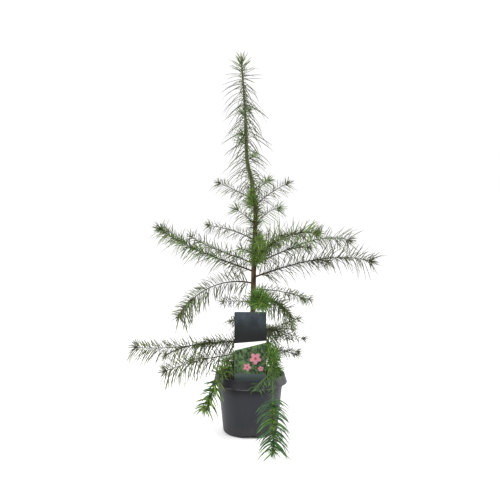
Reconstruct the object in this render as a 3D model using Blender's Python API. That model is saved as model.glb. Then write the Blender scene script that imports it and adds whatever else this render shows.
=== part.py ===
"""A young potted European larch: one leader, short side boughs, a nursery pot.

Metres, +Z up. The origin is the middle of the pot's underside, where it stands.
The reference view looks along +Y, with +X to its right.
"""
import math
import random
from collections import namedtuple

import bmesh
import bpy
import numpy as np
from mathutils import Vector

CLEAR = 0.0003       # gap between two pieces that touch
PAST = 0.010         # how far a cutter reaches past what it cuts
SEED = 41

# The pot: a tapering round wall, a flared skirt round its rim, and a floor
# that stands on a middle pad and a foot ring with a channel between them.
POT_SIDES = 32
POT_HEIGHT = 0.154
POT_BASE_RADIUS = 0.0695
POT_FLARE = 0.105            # growth of the radius for each metre of height
POT_WALL = 0.0015
POT_FLOOR_TOP = 0.0085
CORNER_RADIUS = 0.008
PAD_RADIUS = 0.036
CHANNEL_OUTER = 0.056
CHANNEL_HEIGHT = 0.006
SKIRT_JOINT = 0.147          # height where the skirt leaves the wall
SKIRT_LIP = 0.1310           # height of the skirt's lower lip
SKIRT_TOP_RADIUS = 0.0885
SKIRT_LIP_RADIUS = 0.095
LIP_HEIGHT = 0.0025
LIP_ROUND = 0.0005
EDGE = 0.001                 # chamfer on the pot's edges
NOTCH_COUNT = 4
NOTCH_START = 0.048
NOTCH_WIDTH = 0.030
NOTCH_HEIGHT = 0.0072
DRAIN_COUNT = 8
DRAIN_RADIUS = 0.004
DRAIN_CIRCLE = 0.046
DRAIN_SIDES = 8

# The compost, which fills the pot to just under its rim.
SOIL_TOP = 0.142

# The label card, pushed into the compost in front of the trunk.
CARD_WIDTH = 0.080
CARD_TOP = 0.325
CARD_SHOULDER = 0.134        # below this it narrows to its tongue
CARD_TIP = 0.112
CARD_TONGUE = 0.050
CARD_THICK = 0.0010
CARD_Y = -0.062
CARD_CORNER = 0.003

# The trunk and its leader: height, x, y and radius of each station.
TRUNK_SIDES = 8
TRUNK_STEP = 0.034
LEADER_STEP = 0.024
FLARE_RINGS = (0, 0.004, 0.010, 0.018)
TRUNK = [
    (0.142, 0.006, 0.000, 0.0110),
    (0.165, 0.006, 0.000, 0.0072),
    (0.300, 0.007, 0.002, 0.0062),
    (0.430, 0.009, 0.003, 0.0053),
    (0.540, 0.013, 0.002, 0.0046),
    (0.590, 0.012, 0.000, 0.0040),
    (0.650, 0.003, -0.003, 0.0031),
    (0.700, -0.008, -0.004, 0.0026),
    (0.800, -0.012, -0.001, 0.0020),
    (0.880, -0.017, 0.003, 0.0015),
    (0.942, -0.022, 0.005, 0.0010),
]

# Each bough: height on the trunk, azimuth, length, rise at its base, middle
# and tip, turn of its azimuth by the tip, side twigs, and share of bare wood.
# Angles are in degrees. Azimuth 0 points to +X and -90 to the viewer.
BOUGHS = {
    "low_left_long": (0.238, 172, 0.305, (-2, -8, 4), 0, 2, 0.16),
    "low_left": (0.207, 197, 0.228, (0, -8, -18), 0, 1, 0.18),
    "low_front_left": (0.184, 224, 0.208, (36, -40, -58), 0, 0, 0.20),
    "low_front_right": (0.198, -36, 0.350, (32, -42, -60), -54, 1, 0.16),
    "low_back": (0.226, 76, 0.205, (8, -2, -18), 0, 1, 0.16),
    "low_back_left": (0.262, 108, 0.190, (8, -2, -18), 0, 1, 0.18),
    "low_right_short": (0.205, 28, 0.132, (6, -4, -16), 0, 1, 0.24),
    "low_right": (0.272, -12, 0.128, (2, -12, -18), 0, 1, 0.24),
    "low_right_back": (0.252, 44, 0.165, (2, 10, 2), 0, 1, 0.20),
    "mid_right_droop": (0.350, -33, 0.135, (2, -20, -80), 0, 0, 0.22),
    "mid_left_thin": (0.338, 124, 0.140, (-4, -8, -12), 0, 0, 0.22),
    "mid_right_back": (0.370, 34, 0.182, (-2, -15, -22), 0, 1, 0.18),
    "mid_left_droop": (0.388, 160, 0.242, (8, -27, -60), 0, 0, 0.16),
    "mid_right_long": (0.405, -6, 0.300, (20, 11, -14), 0, 1, 0.14),
    "mid_left_long": (0.420, 200, 0.266, (22, 24, 36), 0, 0, 0.15),
    "mid_left_back": (0.440, 160, 0.180, (18, 18, 28), 0, 0, 0.18),
    "mid_right_back_long": (0.440, 14, 0.262, (18, 17, -18), 0, 1, 0.15),
    "mid_right_front": (0.440, -40, 0.222, (56, 24, -2), 0, 1, 0.16),
    "mid_back": (0.428, 86, 0.225, (28, 14, -6), 0, 1, 0.16),
    "high_left_thin": (0.500, 152, 0.136, (24, 12, 4), 0, 0, 0.22),
    "high_back": (0.520, 88, 0.105, (40, 30, 18), 0, 0, 0.26),
    "top_left": (0.600, 170, 0.098, (34, 25, 22), 0, 0, 0.26),
    "top_right": (0.590, -10, 0.096, (44, 34, 24), 0, 0, 0.26),
}
# Short shoots whose foliage begins at the trunk's bark, in the same form.
SHOOTS = {
    "front_clump_low": (0.342, -79, 0.105, (34, 8, -14), 0, 0, 0.0),
    "front_clump_mid": (0.432, -84, 0.150, (50, 34, 20), 0, 1, 0.0),
    "front_clump_top": (0.585, -100, 0.060, (50, 40, 24), 0, 0, 0.0),
    "high_left_short": (0.542, 200, 0.060, (44, 38, 34), 0, 0, 0.0),
    "high_right_short": (0.543, -20, 0.072, (50, 36, 8), 0, 0, 0.0),
    "top_right_back": (0.620, 25, 0.046, (46, 38, 34), 0, 0, 0.0),
}
TURN_SPEED = 6               # a bough turns in its first part and then runs straight
BOUGH_SIDES = 6
LINE_STEP = 0.005
BOUGH_STEP = 0.012
WOOD_BASE = 0.0014           # base radius of a bough of no length
WOOD_GROWTH = 0.004          # base radius that each metre of length adds
COLLAR = 1.35                # swelling where a bough leaves the trunk

# Foliage: a slim green stem with single needles set round it in a spiral of
# five to two turns, so that each needle leaves the middle of a stem face.
# A pair of values belongs to the upper and the lower side of a stem.
STEM_SIDES = 5
STEM_SPIRAL = 2 / 5
STEM_STEP = 0.022
STEM_TIP = 0.0011
NEEDLE_SPACING = 0.0074
NEEDLE_UNEVEN = 0.15         # part by which a spacing may differ
NEEDLE_ENDS = (0.003, 0.001)  # bare stem at its foot and at its tip
NEEDLE_LENGTH = (0.033, 0.048)
NEEDLE_SPREAD = 0.12         # part by which a length may differ
NEEDLE_WIDTH = 0.0018
NEEDLE_THICK = 0.0013
NEEDLE_JITTER = 7            # degrees by which a needle leaves its row
ROOT_SHARE = 0.8             # a needle's root, as a share of its stem face
NEEDLE_FORWARD = (48, 66)    # angle to the stem
NEEDLE_DROOP = (0.13, 0.32)
TUFT_COUNT = 5
TUFT_SPACING = 0.0030
TUFT_ANGLE = 26
TUFT_NEEDLE = 0.028

# Side twigs, which leave a stem left and right in turn.
TWIG_LENGTH = (0.050, 0.080)
TWIG_ANGLE = 42
TWIG_FROM, TWIG_TO = 0.12, 0.52
TWIG_PLACE = (0.2, 0.8)      # place of a twig within its own share of the stem
TWIG_STEPS = 4
TWIG_LIFT = 0.12
TWIG_SAG = 0.09
TWIG_GIRTH = 0.85
TWIG_FREE = 0.4              # part of its first step that is still in the stem

# Room that a needle or twig keeps from everything else.
NEEDLE_GAP = 0.0008
NEEDLE_ROOM = 0.002
TWIG_ROOM = 0.004
FLOOR_GAP = 0.004
BARK_ROOM = 0.0005
ROD_STEP = 0.02
POT_TESTS = 8                # places along a rod that are tested against the pot
LIMB_FROM = 0.003            # from here on a needle keeps clear of other limbs
CROWD_FROM = 0.012           # and from here of its own stem's needles
UPRIGHT = 0.1                # sine of the angle to the vertical that counts as upright

# The leader's foliage: a green sleeve round the top of the trunk, in three.
# Its needles point up at the tip and hang lower down.
LEADER = {
    "leader_low": (0.652, 0.748),
    "leader_middle": (0.750, 0.848),
    "leader_top": (0.850, 0.948),
}
SLEEVE_WALL = 0.0009
SLEEVE_GAP = 0.00035
SLEEVE_TIP = 0.0012
ROOT_DEPTH = 0.4             # part of the sleeve's wall that a root goes through
LEADER_NEEDLE = 0.056
LEADER_SPACING = 0.0034
LEADER_ENDS = (0.004, 0.002)
LEADER_SPIRAL = 3 / 8
LEADER_RISE = (68, -42)
LEADER_TURN = 0.093          # height over which the needles turn down
LEADER_SHORT = (0.6, 1.0)    # needle length at the tip, as a share
LEADER_GROWN = 0.05          # depth below the tip where needles are full length

Limb = namedtuple("Limb", "points ways radii")


# Materials

def material(name, colour, roughness):
    made = bpy.data.materials.new(name)
    made.use_nodes = True
    shader = made.node_tree.nodes["Principled BSDF"]
    shader.inputs["Base Color"].default_value = (*colour, 1)
    shader.inputs["Roughness"].default_value = roughness
    made.diffuse_color = (*colour, 1)
    return made


def solid(name, points, faces, finish):
    """A closed mesh object in place, with its faces turned outwards."""
    mesh = bpy.data.meshes.new(name)
    mesh.from_pydata([tuple(p) for p in points], [], faces)
    work = bmesh.new()
    work.from_mesh(mesh)
    bmesh.ops.recalc_face_normals(work, faces=work.faces)
    work.to_mesh(mesh)
    work.free()
    mesh.shade_smooth()
    mesh.set_sharp_from_angle(angle=math.radians(40))
    mesh.materials.append(finish)
    made = bpy.data.objects.new(name, mesh)
    bpy.context.scene.collection.objects.link(made)
    return made


def combine(target, helpers, operation):
    """Join the helpers to the target, or cut them away, and remove them."""
    group = bpy.data.collections.new("helpers")
    bpy.context.scene.collection.children.link(group)
    for helper in helpers:
        bpy.context.scene.collection.objects.unlink(helper)
        group.objects.link(helper)
    change = target.modifiers.new("combine", "BOOLEAN")
    change.operation = operation
    change.solver = "EXACT"
    change.operand_type = "COLLECTION"
    change.collection = group
    view = bpy.context.evaluated_depsgraph_get()
    result = bpy.data.meshes.new_from_object(target.evaluated_get(view))
    target.modifiers.clear()
    old = target.data
    target.data = result
    bpy.data.meshes.remove(old)
    for helper in helpers:
        mesh = helper.data
        bpy.data.objects.remove(helper)
        bpy.data.meshes.remove(mesh)
    bpy.data.collections.remove(group)
    result.name = target.name
    return target


# Turned and boxed shapes

def lathe(profile, sides):
    """Points and faces of a profile of (radius, height) turned about Z."""
    points = []
    rings = []
    for radius, height in profile:
        if radius == 0:
            rings.append([len(points)] * sides)
            points.append((0, 0, height))
            continue
        first = len(points)
        rings.append(list(range(first, first + sides)))
        for i in range(sides):
            turn = 2 * math.pi * i / sides
            points.append((radius * math.cos(turn), radius * math.sin(turn), height))
    faces = []
    pairs = list(zip(rings, rings[1:]))
    if profile[0][0] > 0:
        pairs.append((rings[-1], rings[0]))
    for lower, upper in pairs:
        for i in range(sides):
            j = (i + 1) % sides
            corners = [lower[i], lower[j], upper[j], upper[i]]
            faces.append(list(dict.fromkeys(corners)))
    return points, faces


def box(name, low, high, finish):
    corners = [(x, y, z) for z in (low[2], high[2]) for y in (low[1], high[1]) for x in (low[0], high[0])]
    faces = [(0, 2, 3, 1), (4, 5, 7, 6), (0, 1, 5, 4), (2, 6, 7, 3), (0, 4, 6, 2), (1, 3, 7, 5)]
    return solid(name, corners, faces, finish)


def wall_radius(height):
    """Outer radius of the pot's wall."""
    return POT_BASE_RADIUS + POT_FLARE * height


def inner_radius(height):
    return wall_radius(height) - POT_WALL


def skirt_radius(height):
    """Outer radius of the skirt, which flares from the rim down to its lip."""
    down = (POT_HEIGHT - height) / (POT_HEIGHT - SKIRT_LIP)
    return SKIRT_TOP_RADIUS + (SKIRT_LIP_RADIUS - SKIRT_TOP_RADIUS) * down


def make_pot(finish):
    corner_at = wall_radius(CORNER_RADIUS) - CORNER_RADIUS
    corner = []
    for step in range(4):
        turn = math.radians(30 * step)
        corner.append((corner_at + CORNER_RADIUS * math.sin(turn), CORNER_RADIUS * (1 - math.cos(turn))))
    outline = [
        (0, 0),
        (PAD_RADIUS, 0),
        (PAD_RADIUS + EDGE, CHANNEL_HEIGHT),
        (CHANNEL_OUTER, CHANNEL_HEIGHT),
        (CHANNEL_OUTER + EDGE, 0),
        *corner,
        (wall_radius(SKIRT_JOINT), SKIRT_JOINT),
        (skirt_radius(SKIRT_JOINT) - POT_WALL, SKIRT_JOINT),
        (SKIRT_LIP_RADIUS - POT_WALL, SKIRT_LIP + LIP_HEIGHT),
        (SKIRT_LIP_RADIUS - POT_WALL, SKIRT_LIP),
        (SKIRT_LIP_RADIUS - LIP_ROUND, SKIRT_LIP + LIP_ROUND),
        (skirt_radius(SKIRT_LIP + LIP_HEIGHT), SKIRT_LIP + LIP_HEIGHT),
        (SKIRT_TOP_RADIUS, POT_HEIGHT - EDGE),
        (SKIRT_TOP_RADIUS - EDGE, POT_HEIGHT),
        (inner_radius(POT_HEIGHT) + EDGE, POT_HEIGHT),
        (inner_radius(POT_HEIGHT - EDGE), POT_HEIGHT - EDGE),
        (inner_radius(POT_FLOOR_TOP), POT_FLOOR_TOP),
        (0, POT_FLOOR_TOP),
    ]
    pot = solid("pot", *lathe(outline, POT_SIDES), finish)
    cutters = []
    for i in range(NOTCH_COUNT):
        notch = box(f"notch_{i}", (NOTCH_START, -NOTCH_WIDTH / 2, -PAST),
                    (wall_radius(0) + PAST, NOTCH_WIDTH / 2, NOTCH_HEIGHT), finish)
        turn = 2 * math.pi * i / NOTCH_COUNT
        notch.rotation_euler = (0, 0, turn)
        cutters.append(notch)
    for i in range(DRAIN_COUNT):
        turn = 2 * math.pi * (i + 0.5) / DRAIN_COUNT
        low, high = -PAST, POT_FLOOR_TOP + PAST
        hole = [(0, low), (DRAIN_RADIUS, low), (DRAIN_RADIUS, high), (0, high)]
        drain = solid(f"drain_{i}", *lathe(hole, DRAIN_SIDES), finish)
        drain.location = (DRAIN_CIRCLE * math.cos(turn), DRAIN_CIRCLE * math.sin(turn), 0)
        cutters.append(drain)
    return combine(pot, cutters, "DIFFERENCE")


def make_soil(finish):
    bottom = POT_FLOOR_TOP + CLEAR
    outline = [
        (0, bottom),
        (inner_radius(bottom) - CLEAR, bottom),
        (inner_radius(SOIL_TOP) - CLEAR, SOIL_TOP),
        (0, SOIL_TOP),
    ]
    soil = solid("soil", *lathe(outline, POT_SIDES), finish)
    half = CARD_WIDTH / 2 + CLEAR
    thick = CARD_THICK / 2 + CLEAR
    low = (-half, CARD_Y - thick, CARD_TIP - CLEAR)
    high = (half, CARD_Y + thick, SOIL_TOP + PAST)
    slot = box("slot", low, high, finish)
    return combine(soil, [slot], "DIFFERENCE")


def make_card(finish):
    half = CARD_WIDTH / 2
    right = [(CARD_TONGUE / 2, CARD_TIP), (half, CARD_SHOULDER)]
    for degrees in (0, 45, 90):
        turn = math.radians(degrees)
        x = half - CARD_CORNER * (1 - math.cos(turn))
        right.append((x, CARD_TOP - CARD_CORNER * (1 - math.sin(turn))))
    outline = right + [(-x, z) for x, z in reversed(right)]
    count = len(outline)
    points = [(x, CARD_Y + side * CARD_THICK / 2, z) for side in (-1, 1) for x, z in outline]
    faces = [list(range(count)), list(range(2 * count - 1, count - 1, -1))]
    faces += [(i, i + count, (i + 1) % count + count, (i + 1) % count) for i in range(count)]
    return solid("label_card", points, faces, finish)


# The trunk's line and girth

def trunk_at(height):
    """Centre and radius of the trunk, on a smooth curve through its stations."""
    stations = TRUNK
    last = len(stations) - 2
    i = 0
    while i < last and height > stations[i + 1][0]:
        i += 1
    here = np.array(stations[i])
    ahead = np.array(stations[i + 1])
    before = np.array(stations[max(i - 1, 0)])
    after = np.array(stations[min(i + 2, len(stations) - 1)])
    span = ahead[0] - here[0]
    t = min(max((height - here[0]) / span, 0), 1)
    slope_here = (ahead - before) / (ahead[0] - before[0]) * span
    slope_ahead = (after - here) / (after[0] - here[0]) * span
    line = ((2 * t**3 - 3 * t**2 + 1) * here + (t**3 - 2 * t**2 + t) * slope_here
            + (-2 * t**3 + 3 * t**2) * ahead + (t**3 - t**2) * slope_ahead)
    radius = here[3] + (ahead[3] - here[3]) * t
    return Vector((line[1], line[2], height)), float(radius)


def heading(azimuth, lift=0.0):
    """The unit vector of an azimuth and a lift, both in degrees."""
    way, rise = math.radians(azimuth), math.radians(lift)
    return Vector((math.cos(rise) * math.cos(way), math.cos(rise) * math.sin(way), math.sin(rise)))


def level_ring(centre, radius, sides):
    return [centre + heading(360 * i / sides) * radius for i in range(sides)]


def skin(rings):
    """Faces between rings of equal count, with both ends capped."""
    sides = len(rings[0])
    faces = [list(range(sides))[::-1]]
    for k in range(len(rings) - 1):
        for i in range(sides):
            j = (i + 1) % sides
            a, b = k * sides, (k + 1) * sides
            faces.append((a + i, a + j, b + j, b + i))
    faces.append([(len(rings) - 1) * sides + i for i in range(sides)])
    return [p for ring in rings for p in ring], faces


def spread(low, high, step):
    """Even heights from low to high, both included."""
    count = max(round((high - low) / step), 1)
    return [low + (high - low) * i / count for i in range(count + 1)]


def leader_heights(name):
    """Heights of the trunk's rings inside one of the leader's sleeves."""
    low, high = LEADER[name]
    return spread(low, min(high, TRUNK[-1][0]), LEADER_STEP)


def make_trunk(finish):
    foot = SOIL_TOP + CLEAR
    heights = [foot + rise for rise in FLARE_RINGS]
    heights += spread(heights[-1], min(low for low, _ in LEADER.values()), TRUNK_STEP)[1:-1]
    for name in LEADER:
        heights += leader_heights(name)
    rings = [level_ring(*trunk_at(z), TRUNK_SIDES) for z in heights]
    return solid("trunk", *skin(rings), finish)


# Boughs and stems

def rise_at(rise, t):
    """Angle above level at the part t of the way, through base, middle and tip."""
    base, middle, tip = rise
    return base * (1 - t) * (1 - 2 * t) + middle * 4 * t * (1 - t) + tip * t * (2 * t - 1)


def bough_line(spec):
    """Points at equal steps along a bough, from just clear of the bark to its tip."""
    height, azimuth, length, rise, turn = spec[:5]
    centre, girth = trunk_at(height)
    line = [centre + heading(azimuth) * (girth + bark_gap(spec))]
    count = round(length / LINE_STEP)
    for i in range(count):
        t = (i + 0.5) / count
        way = azimuth + turn * (1 - (1 - t)**TURN_SPEED)
        line.append(line[-1] + heading(way, rise_at(rise, t)) * length / count)
    return line


def stretch(line, low, high, step):
    """Marks along a line at even steps from low to high, their points and ways."""
    segment = (line[1] - line[0]).length
    marks = spread(low, high, step)
    points = []
    ways = []
    for mark in marks:
        k = min(int(mark / segment), len(line) - 2)
        points.append(line[k].lerp(line[k + 1], mark / segment - k))
        ways.append((line[k + 1] - line[k]).normalized())
    return marks, points, ways


def bark_gap(spec):
    """Gap from the trunk's bark that clears a base ring on a leaning trunk."""
    height, azimuth, length = spec[:3]
    out = heading(azimuth)
    reach = 2 * COLLAR * wood_radius(length, 0)
    middle, girth = trunk_at(height)
    furthest = girth
    for z in (height - reach, height + reach):
        centre, radius = trunk_at(z)
        furthest = max(furthest, (centre - middle).dot(out) + radius)
    return furthest - girth + CLEAR


def wood_radius(length, t):
    base = WOOD_BASE + WOOD_GROWTH * length
    return base + (STEM_TIP - base) * t


def between(pair, share):
    return pair[0] + (pair[1] - pair[0]) * share


def frames(ways):
    """Side and lift at each point of a limb, carried along it without twist."""
    result = []
    side = ways[0].cross(Vector((0, 0, 1)))
    if side.length < UPRIGHT:
        side = Vector((1, 0, 0))
    for way in ways:
        side = (side - way * side.dot(way)).normalized()
        result.append((side, side.cross(way)))
    return result


def tube(limb, sides):
    rings = []
    for point, radius, (side, lift) in zip(limb.points, limb.radii, frames(limb.ways)):
        ring = []
        for i in range(sides):
            turn = 2 * math.pi * (i + 0.5) / sides
            ring.append(point + side * radius * math.cos(turn) + lift * radius * math.sin(turn))
        rings.append(ring)
    return rings


def flush_to_trunk(ring, limb, azimuth):
    """Slide a base ring along the bough until it lies flat to the bark."""
    out = heading(azimuth)
    foot, way = limb.points[0], limb.ways[0]
    return [p + way * ((foot - p).dot(out) / way.dot(out)) for p in ring]


# Room that each piece takes, as straight rods with a radius

class Room:
    """Rods already placed, and a test for whether a new rod keeps clear."""

    def __init__(self):
        self.starts = np.zeros((0, 3))
        self.ends = np.zeros((0, 3))
        self.radii = np.zeros(0)
        self.owners = np.zeros(0, dtype=object)

    def add(self, start, end, radius, owner):
        self.starts = np.vstack([self.starts, np.array(start)[None]])
        self.ends = np.vstack([self.ends, np.array(end)[None]])
        self.radii = np.append(self.radii, radius)
        self.owners = np.append(self.owners, owner)

    def add_limb(self, points, radii, owner):
        for here, ahead, radius in zip(points, points[1:], radii):
            self.add(here, ahead, radius, owner)

    def distances(self, start, end):
        """Least distance from a rod's axis to each placed axis."""
        p, q = np.array(start), self.starts
        u, v = np.array(end) - p, self.ends - self.starts
        w = p - q
        a, b, c = u @ u, v @ u, np.einsum("ij,ij->i", v, v)
        d, e = w @ u, np.einsum("ij,ij->i", v, w)
        c = np.maximum(c, 1e-12)
        fall = np.maximum(a * c - b * b, 1e-12)
        s = np.clip((b * e - c * d) / fall, 0, 1)
        t = np.clip((b * s + e) / c, 0, 1)
        s = np.clip((b * t - d) / a, 0, 1)
        gap = w + s[:, None] * u - t[:, None] * v
        return np.linalg.norm(gap, axis=1)

    def clear(self, start, end, radius, others=None, own=None):
        """True if the rod keeps its gap from the others' rods, or from its own."""
        chosen = self.owners == own if own else self.owners != others
        if not chosen.any():
            return True
        gap = self.distances(start, end) - self.radii
        return bool((gap[chosen] > radius + NEEDLE_GAP).all())


def clear_of_pot(point, room):
    """True if a point is outside the pot, the soil, the card and the floor."""
    if point.z < FLOOR_GAP + room:
        return False
    if abs(point.x) < CARD_WIDTH / 2 + room and abs(point.y - CARD_Y) < CARD_THICK / 2 + room \
            and point.z < CARD_TOP + room:
        return False
    if point.z > POT_HEIGHT + room:
        return True
    outside = math.hypot(point.x, point.y)
    if outside > SKIRT_LIP_RADIUS + room:
        return True
    inside = outside < inner_radius(POT_HEIGHT) - 2 * room
    return inside and point.z > SOIL_TOP + room


def rod_clear_of_pot(start, end, room):
    return all(clear_of_pot(start.lerp(end, i / POT_TESTS), room) for i in range(POT_TESTS + 1))


# Needles

def face_width(radius, sides):
    return 2 * radius * math.sin(math.pi / sides)


def needle_way(tangent, radial, low):
    """Direction of a needle on a side shoot; low is 0 on its upper side, 1 below."""
    forward = math.radians(between(NEEDLE_FORWARD, low))
    way = tangent * math.cos(forward) + radial * math.sin(forward)
    way.z -= between(NEEDLE_DROOP, low)
    return way.normalized()


def leader_way(height, around):
    """Direction of a needle on the leader: up at the tip, hanging lower down."""
    down = min(max((LEADER["leader_top"][1] - height) / LEADER_TURN, 0), 1)
    return heading(math.degrees(around), between(LEADER_RISE, down))


def needle(name, root, way, length, width, finish):
    """A slender three-sided spike whose blunt root lies inside its stem."""
    level = way.cross(Vector((0, 0, 1)))
    if level.length < UPRIGHT:
        level = Vector((1, 0, 0))
    level.normalize()
    over = level.cross(way)
    thick = width * NEEDLE_THICK / NEEDLE_WIDTH
    points = [
        root - level * width / 2 - over * thick / 2,
        root + level * width / 2 - over * thick / 2,
        root + over * thick / 2,
        root + way * length,
    ]
    return solid(name, points, [(0, 1, 2), (0, 3, 1), (1, 3, 2), (2, 3, 0)], finish)


def grow_needles(owner, limb, room, chance, finish):
    """Needles in a spiral along a stem, skipping each one that has no room."""
    grown = []
    marks = [0.0]
    for here, ahead in zip(limb.points, limb.points[1:]):
        marks.append(marks[-1] + (ahead - here).length)
    total = marks[-1]
    turns = frames(limb.ways)
    tuft_from = total - TUFT_COUNT * TUFT_SPACING
    mark = NEEDLE_ENDS[0]
    row = chance.randrange(STEM_SIDES)
    while mark < total - NEEDLE_ENDS[1]:
        k = max(i for i in range(len(marks) - 1) if marks[i] <= mark)
        t = (mark - marks[k]) / (marks[k + 1] - marks[k])
        root = limb.points[k].lerp(limb.points[k + 1], t)
        radius = between(limb.radii[k:k + 2], t)
        side, lift = turns[k]
        jitter = chance.uniform(-NEEDLE_JITTER, NEEDLE_JITTER)
        around = 2 * math.pi * STEM_SPIRAL * row + math.radians(jitter)
        radial = side * math.cos(around) + lift * math.sin(around)
        if mark > tuft_from:
            tilt = math.radians(TUFT_ANGLE)
            way = limb.ways[k] * math.cos(tilt) + radial * math.sin(tilt)
            length = TUFT_NEEDLE
        else:
            low = (1 - math.sin(around)) / 2
            way = needle_way(limb.ways[k], radial, low)
            length = between(NEEDLE_LENGTH, low)
        length *= 1 + chance.uniform(-NEEDLE_SPREAD, NEEDLE_SPREAD)
        if has_room(owner, root, way, length, radius, room):
            width = min(NEEDLE_WIDTH, ROOT_SHARE * face_width(radius, STEM_SIDES))
            grown.append(needle(f"{owner}_needle_{len(grown)}", root, way, length, width, finish))
            room.add(root + way * radius, root + way * length, NEEDLE_WIDTH / 2, owner)
        row += 1
        if mark > tuft_from:
            mark += TUFT_SPACING
        else:
            mark += NEEDLE_SPACING * chance.uniform(1 - NEEDLE_UNEVEN, 1 + NEEDLE_UNEVEN)
    return grown


def has_room(owner, root, way, length, radius, room):
    tip = root + way * length
    start = root + way * (radius + LIMB_FROM)
    if not rod_clear_of_pot(start, tip, NEEDLE_ROOM):
        return False
    if not room.clear(start, tip, NEEDLE_WIDTH / 2, others=owner):
        return False
    return room.clear(root + way * CROWD_FROM, tip, NEEDLE_WIDTH / 2, own=owner)


def side_twigs(name, stem, count, room, chance):
    """The side twigs of a stem, left and right in turn, where they have room."""
    twigs = []
    turns = frames(stem.ways)
    angle = math.radians(TWIG_ANGLE)
    for i in range(count):
        share = between((TWIG_FROM, TWIG_TO), (i + chance.uniform(*TWIG_PLACE)) / count)
        k = max(1, min(round(share * (len(stem.points) - 1)), len(stem.points) - 2))
        hand = 1 if i % 2 == 0 else -1
        way = stem.ways[k] * math.cos(angle) + turns[k][0] * hand * math.sin(angle)
        way = (way + Vector((0, 0, TWIG_LIFT))).normalized()
        step = chance.uniform(*TWIG_LENGTH) / TWIG_STEPS
        points, ways = [stem.points[k]], [way]
        for _ in range(TWIG_STEPS):
            way = (way - Vector((0, 0, TWIG_SAG))).normalized()
            points.append(points[-1] + way * step)
            ways.append(way)
        outer = [points[0].lerp(points[1], TWIG_FREE)] + points[1:]
        free = all(room.clear(a, b, TWIG_ROOM, others=name) and rod_clear_of_pot(a, b, TWIG_ROOM)
                   for a, b in zip(outer, outer[1:]))
        if free:
            girth = (stem.radii[k] * TWIG_GIRTH, STEM_TIP * TWIG_GIRTH)
            radii = [between(girth, j / TWIG_STEPS) for j in range(TWIG_STEPS + 1)]
            twigs.append(Limb(points, ways, radii))
            room.add_limb(outer, radii, name)
    return twigs


def make_boughs(room, bark):
    """The wood of each bough, and the stem that carries its foliage."""
    stems = {}
    for name, spec in {**BOUGHS, **SHOOTS}.items():
        length, wood = spec[2], spec[6]
        line = bough_line(spec)
        start = 0
        if wood:
            marks, points, ways = stretch(line, 0, length * wood, BOUGH_STEP)
            radii = [wood_radius(length, mark / length) for mark in marks]
            radii[0] *= COLLAR
            limb = Limb(points, ways, radii)
            rings = tube(limb, BOUGH_SIDES)
            rings[0] = flush_to_trunk(rings[0], limb, spec[1])
            solid(f"bough_{name}", *skin(rings), bark)
            room.add_limb(points, radii, f"bough_{name}")
            start = length * wood + CLEAR
        marks, points, ways = stretch(line, start, length, STEM_STEP)
        stems[name] = Limb(points, ways, [wood_radius(length, mark / length) for mark in marks])
        room.add_limb(points, stems[name].radii, name)
    return stems


def make_foliage(stems, room, green):
    """One fused mass for each bough: its stem, side twigs and needles."""
    specs = {**BOUGHS, **SHOOTS}
    twigs = {}
    for index, (name, stem) in enumerate(stems.items()):
        chance = random.Random(SEED + index)
        twigs[name] = side_twigs(name, stem, specs[name][5], room, chance)
    for index, (name, stem) in enumerate(stems.items()):
        chance = random.Random(SEED * 100 + index)
        rings = tube(stem, STEM_SIDES)
        if specs[name][6] == 0:
            rings[0] = flush_to_trunk(rings[0], stem, specs[name][1])
        mass = solid(f"foliage_{name}", *skin(rings), green)
        parts = []
        for number, twig in enumerate(twigs[name]):
            parts.append(solid(f"{name}_twig_{number}", *skin(tube(twig, STEM_SIDES)), green))
            parts += grow_needles(name, twig, room, chance, green)
        parts += grow_needles(name, stem, room, chance, green)
        combine(mass, parts, "UNION")


def sleeve(name, finish):
    """A green tube round the trunk, closed over its tip at the very top."""
    high = LEADER[name][1]
    tip = TRUNK[-1][0]
    inner = []
    outer = []
    for z in leader_heights(name):
        centre, radius = trunk_at(z)
        inner.append(level_ring(centre, radius + SLEEVE_GAP, TRUNK_SIDES))
        outer.append(level_ring(centre, radius + SLEEVE_GAP + SLEEVE_WALL, TRUNK_SIDES))
    if high < tip:
        points, faces = skin(inner[::-1] + outer)
        last = len(points) - TRUNK_SIDES
        ends = [(i, (i + 1) % TRUNK_SIDES) for i in range(TRUNK_SIDES)]
        rim = [(i, j, last + j, last + i) for i, j in ends]
        return solid(f"foliage_{name}", points, faces[1:-1] + rim, finish)
    centre, radius = trunk_at(tip)
    top = centre + Vector((0, 0, SLEEVE_GAP))
    inner.append(level_ring(top, radius + SLEEVE_GAP, TRUNK_SIDES))
    outer.append(level_ring(top, radius + SLEEVE_GAP + SLEEVE_WALL, TRUNK_SIDES))
    outer.append(level_ring(Vector((centre.x, centre.y, high)), SLEEVE_TIP, TRUNK_SIDES))
    return solid(f"foliage_{name}", *skin(inner[::-1] + outer), finish)


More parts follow.
